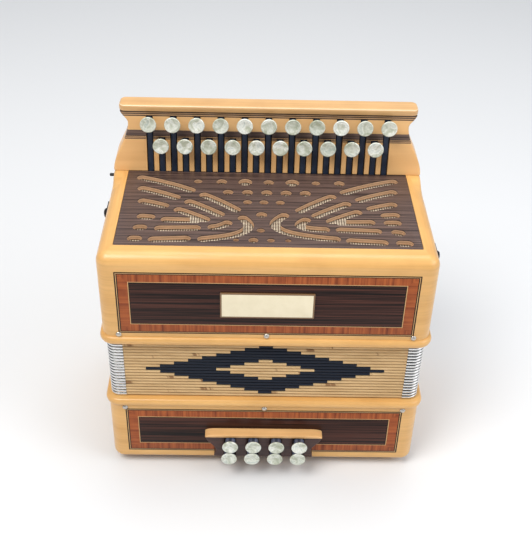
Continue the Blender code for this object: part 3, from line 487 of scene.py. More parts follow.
def inlayMaterial(name, low, high):
    made, tree, surface = shader(name, Coat_Weight=0.03, Coat_Roughness=0.15, Specular_IOR_Level=0.16)
    spot = place(tree)
    x, _, z = node(tree, "SeparateXYZ", {0: spot}).outputs
    up = math2(tree, "SUBTRACT", z, (low + high) / 2 * mm)
    # The borders are wider along the uprights, so distances across those count for less.
    across = math2(tree, "MULTIPLY", x, inlay["upright"])
    half = inlay["upright"] * inlay["half"] * mm
    edge = grouped(tree, border, {"U": across, "V": up, "Half U": half, "Half V": (high - low) / 2 * mm})
    figure = grouped(tree, grain, {"Vector": spot, "Length": 0.13, "Width": 0.0013, "Waver": 0.2})
    heart = ramp(tree, figure["Streak"], [(0.38, inlay["heart"][0]), (0.62, inlay["heart"][1])])
    heart = shaded(tree, heart, figure["Fibre"], [(0.3, (0.6,) * 3), (0.6, (1,) * 3)])
    # The cross-banding's stripes run across the border, so they change along it.
    along = node(tree, "Mix", {0: edge["Upright"], 2: x, 3: up}).outputs[0]
    stripes = node(tree, "TexNoise", {"W": math2(tree, "DIVIDE", along, inlay["stripe"]), "Scale": 1.0,
                                      "Detail": 3.0, "Roughness": 0.65}, noise_dimensions="1D").outputs["Fac"]
    blotch = noise(tree, spot, 90.0, 2.0)
    stripes = node(tree, "Mix", {0: 0.3, 2: stripes, 3: blotch}).outputs[0]
    band = ramp(tree, stripes, [(0.28, inlay["band"][0]), (0.60, inlay["band"][1])])
    reach = 12 * mm
    place01 = math2(tree, "DIVIDE", edge["Distance"], reach)
    starts = [start * mm / reach for start in inlay["lines"]]
    dark, light = inlay["darkLine"], inlay["lightLine"]
    lines = ramp(tree, place01, list(zip(starts, (dark, light, dark, dark, light, dark, dark))), "CONSTANT")
    isBand = ramp(tree, place01, [(0, (0,) * 3), (starts[3], (1,) * 3), (starts[4], (0,) * 3)], "CONSTANT")
    isHeart = math2(tree, "GREATER_THAN", place01, starts[6])
    colour = mixed(tree, isHeart, mixed(tree, isBand, lines, band), heart)
    coloured(surface, colour)
    marks = grouped(tree, handling, {"Vector": spot, "Size": 0.02})["Mask"]
    roughened(surface, marks, 0.26, 0.42)
    bumped(surface, figure["Height"], 0.15, 0.1 * mm)
    return made


for name, (low, high, body, stands) in panels.items():
    shape = slab((-inlay["half"], inlay["front"], low), (inlay["half"], inlay["back"], high), 0.3, 0.08,
                 upright=True, steps=3)
    piece(name, [shape], [inlayMaterial(name, low, high)], body, [stands])

plate = {"half": 34.4, "low": 157.5, "high": 180.0, "front": -70.4, "back": -69.2, "line": 1.2,
         "cream": (0.86, 0.76, 0.545), "brown": (0.20, 0.105, 0.04)}


def plateMaterial():
    made, tree, surface = shader("creamPlate", Coat_Weight=0.3, Coat_Roughness=0.1)
    spot = place(tree)
    x, _, z = node(tree, "SeparateXYZ", {0: spot}).outputs
    up = math2(tree, "SUBTRACT", z, (plate["low"] + plate["high"]) / 2 * mm)
    edge = grouped(tree, border, {"U": x, "V": up, "Half U": plate["half"] * mm,
                                  "Half V": (plate["high"] - plate["low"]) / 2 * mm})
    marks = grouped(tree, handling, {"Vector": spot, "Size": 0.008})["Mask"]
    cream = shaded(tree, plate["cream"], marks, [(0.3, (0.93, 0.92, 0.88)), (0.7, (1, 1, 1))])
    rim = math2(tree, "LESS_THAN", edge["Distance"], plate["line"] * mm)
    coloured(surface, mixed(tree, rim, cream, plate["brown"]))
    roughened(surface, marks, 0.22, 0.4)
    bumped(surface, marks, 0.1, 0.1 * mm)
    return made


shape = slab((-plate["half"], plate["front"], plate["low"]), (plate["half"], plate["back"], plate["high"]),
             0.8, 0.25, upright=True)
piece("namePlateBlank", [shape], [plateMaterial()], "treble_end", ["name_plate"])
print("panels and name plate")


# ---- grille ----

grille = {"half": 111, "y0": -54.3, "y1": 49.7, "low": 206, "high": 210, "bar": 8.2, "gap": 2.4,
          "ply": ((0.74, 0.47, 0.28), (0.57, 0.34, 0.19)), "veneer": (0.05, 0.03, 0.025)}
# Middle lines of the bars, mm from the grille's middle and its front edge: (start, middle, end), and for the
# curved ones the share of the length where they part. Both halves have the curved and the long ones.
curved = [((-103.5, 95), (-60, 76.3), (-21.5, 46.5), 0.56), ((-101.3, 79), (-66.3, 63), (-33.3, 39.7), 0.5),
          ((-99.3, 60.5), (-71.5, 49.8), (-43.7, 32.8), 0.45)]
longBars = [((-83.7, 22.2), (-67, 22.8), (-49.5, 23.7)), ((-87, 7.6), (-71.5, 8.6), (-56, 9.8))]
leftBars = [((-98, 38.3), (-91, 37.5), (-84, 36.8)), ((-99.5, 23), (-94, 23.1), (-88.7, 23.2)),
            ((-102, 8.6), (-96.5, 8.6), (-91, 8.5)), ((-44.8, 25), (-36, 26.5), (-27.8, 33.5)),
            ((-51.5, 8.7), (-17.5, 20.5), (-21.5, 40.5))]
rightBars = [((84.7, 43.3), (92, 44.2), (99.7, 45)), ((86, 33.7), (93, 33.9), (99.6, 34)),
             ((90.3, 22.3), (95.5, 21), (100.7, 19.7)), ((92.2, 7.8), (98.5, 7.2), (105, 6.7)),
             ((31, 38.5), (24.5, 27.5), (45.5, 23.7)), ((14.9, 44.5), (8.5, 23), (52.6, 11))]
meeting = ((-80, 34.6), (-66, 33.8), (-49, 33.8))
# Rows of round holes: distance from the front edge, middle, pitch, radii.
rounds = [(89.6, 0.9, 18.6, (3.3, 4.3, 5.5, 4.2, 5.5, 3.4, 4.3)), (74, -0.8, 15, (4.1, 4.4, 4.4, 4.4, 4.4)),
          (60, -3.1, 12.5, (3.5, 3.5, 3.5)), (42.5, -4.8, 0, (4.2,)), (21.3, -5.6, 0, (3,)),
          (8.6, -4.6, 12.6, (2.2, 3.6, 2.8, 2.2))]


# The quadratic curve through three points, evenly stepped between two shares of its length less a margin.
def curve(start, middle, end, low=0.0, high=1.0, margins=(0, 0), count=36):
    start, middle, end = (np.array(p, float) for p in (start, middle, end))
    t = np.linspace(0, 1, 200)[:, None]
    line = start * (1 - t) ** 2 + (2 * middle - (start + end) / 2) * 2 * t * (1 - t) + end * t ** 2
    run = runLength(line)[:-1]
    spots = np.linspace(low * run[-1] + margins[0], high * run[-1] - margins[1], count)
    return np.stack([np.interp(spots, run, line[:, 0]), np.interp(spots, run, line[:, 1])], -1)


# A bar's outline: the line moved half a width to each side, less the points that a tight bend brings nearer
# the line, and half circles about its ends.
def barOutline(line):
    way = np.gradient(line, axis=0)
    way = way / np.linalg.norm(way, axis=1, keepdims=True)
    side = np.stack([way[:, 1], -way[:, 0]], -1) * grille["bar"] / 2
    ahead = way * grille["bar"] / 2
    turn = np.linspace(0, math.pi, 14)[1:-1, None]
    right, left = (edge[np.linalg.norm(edge[:, None] - line, axis=-1).min(axis=1) > grille["bar"] * 0.497]
                   for edge in (line + side, line - side))
    return np.concatenate([right, line[-1] + side[-1] * np.cos(turn) + ahead[-1] * np.sin(turn),
                           left[::-1], line[0] - side[0] * np.cos(turn) - ahead[0] * np.sin(turn)])


# An upright prism on an outline given from the grille's middle and its front edge.
def prism(outline):
    rows = [np.column_stack([outline[:, 0], outline[:, 1] + grille["y0"], np.full(len(outline), z)])
            for z in (grille["low"] - 1, grille["high"] + 1)]
    return skin(np.stack(rows), closeCols=True, caps=True)


def grilleHoles():
    half, gap = grille["bar"] / 2, grille["gap"]
    lines = []
    for *points, split in curved:
        lines += [curve(*points, 0, split, (half, gap + half)), curve(*points, split, 1, (gap + half, half))]
    lines += [curve(*points, margins=(half, half)) for points in longBars]
    both = [barOutline(line) for line in lines]
    bars = both + [outline[::-1] * (-1, 1) for outline in both]
    bars += [barOutline(curve(*points, margins=(half, half))) for points in leftBars + rightBars]
    joined = barOutline(curve(*meeting, margins=(half, half)))
    others = [joined, joined[::-1] * (-1, 1)]
    turn = np.linspace(0, 2 * math.pi, 36, endpoint=False)
    for y, middle, pitch, radii in rounds:
        for i, radius in enumerate(radii):
            x = middle + (i - (len(radii) - 1) / 2) * pitch
            others.append(np.stack([x + radius * np.cos(turn), y + radius * np.sin(turn)], -1))
    return [[prism(outline) for outline in outlines] for outlines in (bars, others)]


# Ply seen on edge: veneer on top, then layers of light and darker wood.
def plyMaterial():
    made, tree, surface = shader("plyEdge", Roughness=0.55)
    spot = place(tree)
    z = node(tree, "SeparateXYZ", {0: spot}).outputs[2]
    below = math2(tree, "SUBTRACT", grille["high"] * mm, z)
    depth = math2(tree, "DIVIDE", below, (grille["high"] - grille["low"]) * mm)
    light, dark = grille["ply"]
    stops = [(0, grille["veneer"]), (0.15, light), (0.38, dark), (0.62, light), (0.84, dark)]
    layers = ramp(tree, depth, stops, "CONSTANT")
    figure = grouped(tree, grain, {"Vector": spot, "Length": 0.01, "Width": 0.0012})
    tone = shaded(tree, layers, figure["Streak"], [(0.3, (0.75,) * 3), (0.7, (1,) * 3)])
    coloured(surface, tone)
    bumped(surface, figure["Height"], 0.4, 0.2 * mm)
    return made


blank = slab((-grille["half"], grille["y0"], grille["low"]), (grille["half"], grille["y1"], grille["high"]),
             0.6, 0.12, steps=3)
board = meshOf("grilleBoard", [blank])
for count, shapes in enumerate(grilleHoles(), 1):
    board = carved(f"grilleBoard{count}", board, meshOf(f"grilleHoles{count}", shapes))
normals = np.empty(len(board.polygons) * 3)
board.polygons.foreach_get("normal", normals)
board.polygons.foreach_set("material_index", (np.abs(normals[2::3]) < 0.3).astype(int))
piece("grilleFretwork", board, [rosewood, plyMaterial()], "treble_end", ["treble_grille"])


# Woven wire seen from above: crowns where sin x sin of the two diagonal runs is high, holes where it is low.
def meshMaterial():
    made, tree, surface = shader("wovenMesh", Metallic=0.1)
    pitch = 2.7 * mm
    spot = node(tree, "Mapping", {"Vector": place(tree), "Rotation": (0, 0, math.radians(45))}).outputs[0]
    x, y, _ = node(tree, "SeparateXYZ", {0: spot}).outputs
    waves = [math2(tree, "SINE", math2(tree, "MULTIPLY", way, 2 * math.pi / pitch)) for way in (x, y)]
    weave = math2(tree, "MULTIPLY", *waves)
    weave01 = node(tree, "MapRange", {0: weave, 1: -1.0, 2: 1.0}).outputs[0]
    crown = ramp(tree, weave01, [(0.40, (0, 0, 0)), (0.68, (1, 1, 1))])
    # Painted shade: the holes are coloured near black for the shadowed inside of the case seen through the
    # weave.
    colour = mixed(tree, crown, (0.09, 0.052, 0.03), (0.70, 0.60, 0.45))
    coloured(surface, colour)
    roughened(surface, weave01, 0.75, 0.4)
    bumped(surface, weave01, 0.9, 0.5 * mm)
    return made


def repaint(material, slot, *names):
    for name in names:
        mesh = frame["nodes"][name].data
        mesh.materials.clear()
        mesh.materials.append(material)


repaint(meshMaterial(), "silver_mesh", "grille_mesh")
print("grille")


# ---- fingerboard ----

fingerboard = {"half": 123, "waist": 110.2, "waistUp": 39.5, "tip": 116, "height": 49.3, "foot": 210,
               "low": 0.3, "frontY": 50, "backY": 77, "lean": math.radians(8), "backLean": math.radians(7),
               "edge": 1.4, "slotHalf": 2.8, "slotDeep": 9.8, "slotPast": 4.4, "slotOut": 3, "slotDown": 20}
keys = {"outer": {"count": 11, "up": 41.8, "arm": 67.6}, "inner": {"count": 10, "up": 24.4, "arm": 33.6}}
keyPitch = 18.65
axle = {"y": 51.624, "z": 200.0, "down": 10.0}


def keyPlaces():
    return [(f"{row}_key_{i + 1}", (i - (keys[row]["count"] - 1) / 2) * keyPitch, row)
            for row in keys for i in range(keys[row]["count"])]


# Half the board's width: the case's half less a smooth step to the waist, then a smooth step out to the tip.
def boardHalf(up):
    b = fingerboard
    low = np.clip(up / b["waistUp"], 0, 1)
    high = np.clip((up - b["waistUp"]) / (b["height"] - b["waistUp"]), 0, 1)
    return (b["half"] - (b["half"] - b["waist"]) * low ** 2 * (3 - 2 * low)
            + (b["tip"] - b["waist"]) * high ** 2 * (3 - 2 * high))


# Outlines from the front face to the back: up one side and down the other, each face leaning as height x tan.
def boardSkin():
    b = fingerboard
    lower = np.linspace(b["low"], b["waistUp"], 50)
    up = np.concatenate([lower, np.linspace(b["waistUp"], b["height"], 26)[1:]])
    up, side = np.concatenate([up, up[::-1]]), np.repeat([1, -1], len(up))
    turn = np.linspace(0, math.pi / 2, 6)
    inset = b["edge"] * (1 - np.sin(turn))
    depth = b["edge"] * (1 - np.cos(turn))
    front = b["frontY"] + up * math.tan(b["lean"]) + depth[:, None]
    back = b["backY"] - up * math.tan(b["backLean"]) - depth[::-1, None]
    y = np.concatenate([front, back])
    x = side * (boardHalf(up) - np.concatenate([inset, inset[::-1]])[:, None])
    return skin(np.stack([x, y, b["foot"] + up + 0 * x], -1), closeCols=True, caps=True)


# Slots for the levers, each as a box leaning with the board's face.
def slotShapes():
    b = fingerboard
    lean = Matrix.Translation((0, b["frontY"] * mm, b["foot"] * mm)) @ Matrix.Rotation(-b["lean"], 4, "X")
    made = []
    for _, x, row in keyPlaces():
        top = keys[row]["up"] + b["slotPast"]
        low = (x - b["slotHalf"], -b["slotOut"], -b["slotDown"])
        box = slab(low, (x + b["slotHalf"], b["slotDeep"], top), 0.4, 0.1, steps=2)
        made.append(moved(box, lean))
    return made


# The board's face is banded by height: light wood, a dark band with thin lines, light wood, stringing.
boardBands = [(210, "light"), (236.6, "dark"), (237.2, "pale"), (237.8, "dark"), (238.4, "pale"),
              (239.0, "dark"), (239.5, "band"), (244.1, "light"), (255.2, "dark"), (256.1, "pale"),
              (256.8, "dark"), (257.7, "pale"), (258.3, "dark"), (259.5, "light")]


def boardMaterial():
    made, tree, surface = shader("boardWood", Coat_Weight=0.1, Coat_Roughness=0.2, Specular_IOR_Level=0.35)
    spot = place(tree)
    z = node(tree, "SeparateXYZ", {0: spot}).outputs[2]
    low, span = 209 * mm, 52 * mm
    height = math2(tree, "DIVIDE", math2(tree, "SUBTRACT", z, low), span)
    figure = grouped(tree, grain, {"Vector": spot, "Length": boardLook["length"],
                                   "Width": boardLook["width"]})
    light = ramp(tree, figure["Streak"], [(0.25, boardLook["dark"]), (0.75, boardLook["light"])])
    darkFigure = grouped(tree, grain, {"Vector": spot, "Length": 0.08, "Width": 0.001, "Waver": 0.1})
    dark = ramp(tree, darkFigure["Streak"], [(0.35, (0.055, 0.034, 0.028)), (0.65, (0.17, 0.11, 0.085))])
    starts = [((start * mm - low) / span, kind) for start, kind in boardBands]
    # Red is the light wood's share, green the dark band's and blue the pale string's.
    # Black is the dark string.
    masks = {"light": (1, 0, 0), "band": (0, 1, 0), "pale": (0, 0, 1), "dark": (0, 0, 0)}
    mask = ramp(tree, height, [(start, masks[kind]) for start, kind in starts], "CONSTANT")
    isLight, isBand, isPale = node(tree, "SeparateColor", {0: mask}).outputs
    colour = mixed(tree, isPale, (0.045, 0.026, 0.02), (0.52, 0.31, 0.15))
    colour = mixed(tree, isBand, colour, dark)
    colour = mixed(tree, isLight, colour, light)
    coloured(surface, colour)
    marks = grouped(tree, handling, {"Vector": spot, "Size": 0.02})["Mask"]
    roughened(surface, marks, 0.28, 0.45)
    bumped(surface, figure["Height"], 0.12, 0.15 * mm)
    return made


boardMesh = carved("boardWood", meshOf("boardBlank", [boardSkin()]), meshOf("boardSlots", slotShapes()))
piece("fingerboardWood", boardMesh, [boardMaterial()], "treble_end", ["fingerboard"])

cap = {"half": 116.6, "y0": 55.7, "y1": 71.6, "low": 259.6, "high": 264.8, "corner": 5, "round": 2}


# The cap: rings at its foot, then a quarter round in by round x (1 - cos), up by round x sin.
def capSkin():
    turn = np.linspace(0, math.pi / 2, 9)
    inset = np.concatenate([[0.5, 0.1, 0], cap["round"] * (1 - np.cos(turn))])
    foot = cap["low"] + np.array([0, 0.2, 0.6])
    z = np.concatenate([foot, cap["high"] - cap["round"] * (1 - np.sin(turn))])
    points = rings(cap["half"] - inset, cap["y0"] + inset, cap["y1"] - inset, cap["corner"] - inset, z)
    return skin(points, closeCols=True, caps=True)


capLook = dict(mapleLook, light=(0.76, 0.46, 0.20), dark=(0.64, 0.36, 0.14))


# The cap's maple, with a painted highlight along the rounded edge of its top.
def capMaterial():
    made = woodMaterial("capMaple", capLook)
    tree = made.node_tree
    surface = tree.nodes["Principled BSDF"]
    z = node(tree, "SeparateXYZ", {0: place(tree)}).outputs[2]
    # Painted highlight: a thin light band round the cap just below its top, mixed half into the wood's
    # colour.
    edge = math2(tree, "COMPARE", z, (cap["high"] - 0.7) * mm)
    edge.node.inputs[2].default_value = 0.28 * mm
    wood = surface.inputs["Base Color"].links[0].from_socket
    coloured(surface, mixed(tree, math2(tree, "MULTIPLY", edge, 0.5), wood, (0.93, 0.78, 0.55)))
    return made


piece("capWood", [capSkin()], [capMaterial()], "treble_end", ["fingerboard_cap"])
print("fingerboard")


# ---- buttons and keys ----

lacquer = mottled("leverLacquer", 0.006, [(0.3, (0.012, 0.019, 0.036)), (0.7, (0.026, 0.038, 0.066))],
                  rough=(0.25, 0.5), Coat_Weight=0.1, Coat_Roughness=0.2, Specular_IOR_Level=0.35)


# Mother-of-pearl: clouds of pale green, cream and pink, with a soft coat.
def pearlMaterial():
    made, tree, surface = shader("pearl", Coat_Weight=0.4, Coat_Roughness=0.08, Specular_IOR_Level=0.5)
    spot = place(tree)
    shade = noise(tree, spot, 55.0, 0.0)
    cloud = noise(tree, spot, 130.0, 2.0, Distortion=1.2)
    ripple = noise(tree, spot, 420.0, 2.0, Distortion=2.0)
    tone = ramp(tree, cloud, [(0.34, (0.50, 0.52, 0.40)), (0.46, (0.66, 0.67, 0.57)),
                              (0.56, (0.86, 0.86, 0.78)), (0.68, (0.62, 0.66, 0.60))])
    tone = shaded(tree, tone, shade, [(0.35, (0.78, 0.8, 0.76)), (0.62, (1, 1, 1))])
    tone = shaded(tree, tone, ripple, [(0.35, (0.86, 0.88, 0.86)), (0.6, (1, 1, 1))])
    coloured(surface, tone)
    roughened(surface, ripple, 0.16, 0.34)
    bumped(surface, ripple, 0.12, 0.2 * mm)
    return made


def metalMaterial(name, colour, rough, size=0.004, bump=0.08):
    made, tree, surface = shader(name, Metallic=1.0)
    marks = grouped(tree, handling, {"Vector": place(tree), "Size": size})["Mask"]
    coloured(surface, shaded(tree, colour, marks, [(0.3, (0.82,) * 3), (0.7, (1,) * 3)]))
    roughened(surface, marks, rough - 0.08, rough + 0.12)
    bumped(surface, marks, bump, 0.1 * mm)
    return made


pearl = pearlMaterial()
nickel = metalMaterial("nickel", (0.60, 0.56, 0.50), 0.26)
blueLacquer = mottled("blueLacquer", 0.004, [(0.3, (0.05, 0.06, 0.10)), (0.7, (0.12, 0.14, 0.21))],
                      rough=(0.2, 0.4), Coat_Weight=0.5, Coat_Roughness=0.15)

# Radius and depth behind the face, mm: dished pearl with a raised ring, then a tapering neck.
pearlProfile = [(0, 0.75), (1.5, 0.7), (3.0, 0.5), (4.0, 0.25), (4.5, 0.12), (4.75, 0.22), (4.95, 0.12),
                (5.3, 0.0), (5.8, 0.03), (6.15, 0.22), (6.3, 0.55), (6.3, 0.9), (6.15, 1.1)]
neckProfile = [(6.15, 1.1), (6.0, 1.5), (4.6, 2.0), (3.0, 3.2), (2.4, 4.4)]


# A button facing the way given: pearl dish, neck and stem, the stem ending at reach behind the face.
def buttonShapes(face, way, reach, stem=2.3):
    neck = neckProfile + [(stem, 4.9), (stem, reach), (0, reach)]
    back = -np.array(way, float)
    return [turned(pearlProfile, face, back, slot=1), turned(neck, face, back)]


lever = {"half": 2.3, "deep": 2.0, "past": 3.6, "sunk": 1.0, "stand": 11.0, "start": 2.4, "boss": 3.6,
         "bore": 1.65, "web": (1.84, 2.3), "armHalf": 1.3, "armLow": -7.5, "armHigh": -4.3, "post": 1.7,
         "pallet": (15, 22, 4), "palletLow": -15.7}


# A key about its axle: the lever, button and neck lean with the board; the boss, arm and pallet are level.
def keyShapes(x, row):
    up, arm = keys[row]["up"], keys[row]["arm"]
    along = axle["down"] / math.cos(fingerboard["lean"])
    level = Matrix.Translation((x * mm, axle["y"] * mm, axle["z"] * mm))
    lean = level @ Matrix.Rotation(-fingerboard["lean"], 4, "X")
    h, d = lever["half"], lever["deep"]
    bar = slab((-h, -d, lever["start"]), (h, d, along + up + lever["past"]), 0.7, 0.5)
    faceY = -(lever["sunk"] + d + lever["stand"])
    button = buttonShapes((0, faceY, along + up), (0, -1, 0), -faceY - d + 0.3)
    ring = [(lever["bore"], -h), (lever["boss"], -h), (lever["boss"], h), (lever["bore"], h)]
    boss = turned(ring, (0, 0, 0), (1, 0, 0), 24, closeRows=True)
    a, low, high = lever["armHalf"], lever["armLow"], lever["armHigh"]
    webX, webY = lever["web"]
    web = slab((-webX, -webY, low), (webX, webY, -2), 0.3, 0.1)
    beam = slab((-a, -arm - 2, low), (a, 2, high), 0.3, 0.3)
    width, length, thick = lever["pallet"]
    bottom = lever["palletLow"]
    foot, head = bottom + thick - 0.2, low + 0.3
    post = slab((-a, -arm - lever["post"], foot), (a, -arm + lever["post"], head), 0.3, 0.1)
    felt = slab((-width / 2, -arm - length / 2, bottom), (width / 2, -arm + length / 2, bottom + thick),
                0.6, 0.3, slot=2)
    return [moved(s, lean) for s in [bar] + button] + [moved(s, level) for s in (boss, web, beam, post, felt)]


for name, x, row in keyPlaces():
    piece(name.replace("_key_", "Key"), keyShapes(x, row), [lacquer, pearl, plainWood], name, [name])
print("treble keys")


# ---- bass end: button block and buttons ----

block = {"low": 17.6, "high": 38.7, "foot": 40, "waist": 38.5, "top": 46.5, "bend": 0.3, "front": -76.7,
         "back": -69.2, "edge": 1.2, "slotHalf": 4.5, "slotDeep": 4.0, "slotLow": 19.2}
strip = {"half": 47.1, "front": -77.3, "back": -69.2, "low": 39.0, "high": 41.8, "shoulder": 9, "edge": 0.4,
         "round": 0.8}
bassButtons = {"columns": 4, "pitch": 18.4, "rows": (36.8, 23.7), "face": -86.0, "rod": 2.0, "tab": 4.0,
               "disc": 1.6, "tabBack": -76.2, "tabUp": 1.6, "shift": 0.9, "wallBack": -52.0,
               "pallet": (15, 11.4, 3), "palletFront": -51.7}


# Half the block's width: foot to waist on a half cosine below the bend, waist to top on one above it.
def blockHalf(rise):
    fall = (1 + np.cos(math.pi * rise / block["bend"])) / 2
    lower = block["waist"] + (block["foot"] - block["waist"]) * fall
    share = (rise - block["bend"]) / (1 - block["bend"])
    upper = block["waist"] + (block["top"] - block["waist"]) * (1 - np.cos(math.pi * share)) / 2
    return np.where(rise < block["bend"], lower, upper)


def blockSkin():
    rise = np.linspace(0, 1, 60)
    rise, side = np.concatenate([rise, rise[::-1]]), np.repeat([1, -1], 60)
    turn = np.linspace(0, math.pi / 2, 6)[::-1]
    inset = np.concatenate([[0], block["edge"] * (1 - np.sin(turn))])[:, None]
    y = np.concatenate([[block["back"]], block["front"] + block["edge"] * (1 - np.cos(turn))])[:, None]
    x = side * (blockHalf(rise) - inset)
    z = block["low"] + (block["high"] - block["low"]) * rise
    return skin(np.stack([x, y + 0 * x, z + 0 * x], -1), closeCols=True, caps=True)


# A slot in the block's face, wide enough for the shifted upper button and the lower one.
def blockSlot(x):
    low = (x - block["slotHalf"], block["front"] - 2, block["slotLow"])
    high = (x + bassButtons["shift"] + block["slotHalf"], block["front"] + block["slotDeep"],
            block["high"] + 1)
    return slab(low, high, 0.3, 0.1, steps=2)


columns = [(i - (bassButtons["columns"] - 1) / 2) * bassButtons["pitch"]
           for i in range(bassButtons["columns"])]
slots = [blockSlot(x) for x in columns]
blockMesh = carved("blockWood", meshOf("blockBlank", [blockSkin()]), meshOf("blockSlots", slots))
ebonyLook = {"light": (0.085, 0.030, 0.022), "dark": (0.034, 0.012, 0.010), "fibre": 0.7, "length": 0.05,
             "width": 0.0015, "rough": 0.38}
ebony = woodMaterial("ebony", ebonyLook)
piece("bassBlockWood", blockMesh, [ebony], "bass_end", ["bass_button_block"])


# The strip: seen from the front its shoulders are quarter ellipses, in by shoulder x (1 - cos) and up by its
# height x sin. Its front edge is rounded by scaling that outline down about its middle.
def stripSkin():
    turn = np.linspace(0, math.pi / 2, 14)
    rise = strip["high"] - strip["low"] - strip["edge"]
    x = np.concatenate([[strip["half"] - 0.3], strip["half"] - strip["shoulder"] * (1 - np.cos(turn))])
    z = np.concatenate([[0], strip["edge"] + rise * np.sin(turn)]) + strip["low"]
    outline = np.stack([np.concatenate([x, -x[::-1]]), np.concatenate([z, z[::-1]])], -1)
    turn = np.linspace(0, math.pi / 2, 6)[::-1]
    inset = np.concatenate([[0], strip["round"] * (1 - np.sin(turn))])[:, None]
    y = np.concatenate([[strip["back"]], strip["front"] + strip["round"] * (1 - np.cos(turn))])[:, None]
    middle = (strip["low"] + strip["high"]) / 2
    x = outline[:, 0] * (1 - inset / strip["half"])
    z = middle + (outline[:, 1] - middle) * (1 - inset / (middle - strip["low"]))
    return skin(np.stack([x, y + 0 * x, z], -1), closeCols=True, caps=True)


piece("blockStripWood", [stripSkin()], [mapleBoard], "bass_end", ["bass_block_strip"])


# A button with its rod, a tab above the block and a pallet behind the wall.
def bassShapes(x, z):
    b = bassButtons
    tab = slab((x - b["tab"], b["face"] + b["disc"], z - b["tab"]),
               (x + b["tab"], b["tabBack"], z + b["tabUp"]), 2.4, 0.4, slot=2, upright=True)
    width, height, thick = b["pallet"]
    felt = slab((x - width / 2, b["palletFront"], z - height / 2),
                (x + width / 2, b["palletFront"] + thick, z + height / 2), 0.5, 0.3, slot=3, upright=True)
    return buttonShapes((x, b["face"], z), (0, -1, 0), b["wallBack"] - b["face"], b["rod"]) + [tab, felt]


upper, lower = bassButtons["rows"]
places = [(x + bassButtons["shift"], upper) for x in columns] + [(x, lower) for x in columns]
for i, (x, z) in enumerate(places, 1):
    piece(f"bassButton{i}", bassShapes(x, z), [lacquer, pearl, blueLacquer, plainWood], f"bass_button_{i}",
          [f"bass_button_{i}"])

air = {"x": 62, "z": 40, "face": 86, "wall": 68.7, "rod": 2.0, "rodIn": 0.4, "pad": 11, "padThick": 3}
reach = air["face"] - air["wall"] + air["rodIn"]
airShapes = buttonShapes((air["x"], air["face"], air["z"]), (0, 1, 0), reach, air["rod"])
padProfile = [(0, 0), (air["pad"] - 0.3, 0), (air["pad"], 0.3), (air["pad"], air["padThick"] - 0.3),
              (air["pad"] - 0.3, air["padThick"]), (0, air["padThick"])]
airShapes.append(turned(padProfile, (air["x"], air["wall"], air["z"]), (0, -1, 0), slot=2))
piece("airButtonPearl", airShapes, [lacquer, pearl, plainWood], "air_button", ["air_button"])
print("bass buttons")


# ---- bellows ----

bellows = {"folds": 19, "low": 73.8, "high": 129.7, "half": 120.9, "front": -65.8, "back": 73.8, "corner": 7,
           "edge": 2.5, "bandDeep": 3.2, "valley": 13, "crest": 1.6, "card": 0.5, "metalReach": 12.4,
           "metalOut": 0.4, "metalTall": 2.6, "step": 10.85 * mm, "tip": 5.3 * mm,
           "paper": ((0.50, 0.325, 0.155), (0.66, 0.455, 0.235)), "mark": (0.20, 0.09, 0.035),
           "black": (0.010, 0.014, 0.024)}
pitch = (bellows["high"] - bellows["low"]) / bellows["folds"]


# The bellows' outline and its outward direction: corner centre plus radius x (cos, sin), turning once round.
def foldPath(steps=8):
    turn = np.concatenate([np.linspace(0, 0.5, steps) + quarter / 2 for quarter in range(4)]) * math.pi
    out = np.stack([np.cos(turn), np.sin(turn)], -1)
    sign = np.repeat([(1, 1), (-1, 1), (-1, -1), (1, -1)], steps, axis=0)
    middle = np.array((0, (bellows["front"] + bellows["back"]) / 2))
    half = np.array((bellows["half"], (bellows["back"] - bellows["front"]) / 2))
    return middle + sign * (half - bellows["corner"]) + out * bellows["corner"], out


# Carries a profile of (outward, height) pairs along a path: path point + outward x direction, at that height.
def swept(path, out, profile):
    outward, height = np.array(profile, float).T[:, :, None]
    xy = path + outward[..., None] * out
    return np.concatenate([xy, (height + 0 * xy[..., 0])[..., None]], -1)


# A D-shaped section: a half circle flattened to the given height, and a flat back.
def roundProfile(z, tall, out, deep):
    turn = np.linspace(-math.pi / 2, math.pi / 2, 11)
    front = np.stack([out - tall / 2 * (1 - np.cos(turn)), z + tall / 2 * np.sin(turn)], -1)
    return np.concatenate([front, [(-deep, z + tall / 2), (-deep, z - tall / 2)]])


# A metal corner: straight, round the corner, straight, with the fold's own outline.
def cornerPaths():
    path, out = foldPath()
    for quarter in range(4):
        arc, way = path[quarter * 8:quarter * 8 + 8], out[quarter * 8:quarter * 8 + 8]
        straight = bellows["metalReach"] - bellows["corner"]
        before = arc[:1] + straight * np.stack([way[0, 1], -way[0, 0]], -1)
        after = arc[-1:] + straight * np.stack([-way[-1, 1], way[-1, 0]], -1)
        yield np.concatenate([before, arc, after]), np.concatenate([way[:1], way, way[-1:]])


# The weight's smooth step run backwards.
def unsmooth(weight):
    return 0.5 - math.sin(math.asin(1 - 2 * weight) / 3)


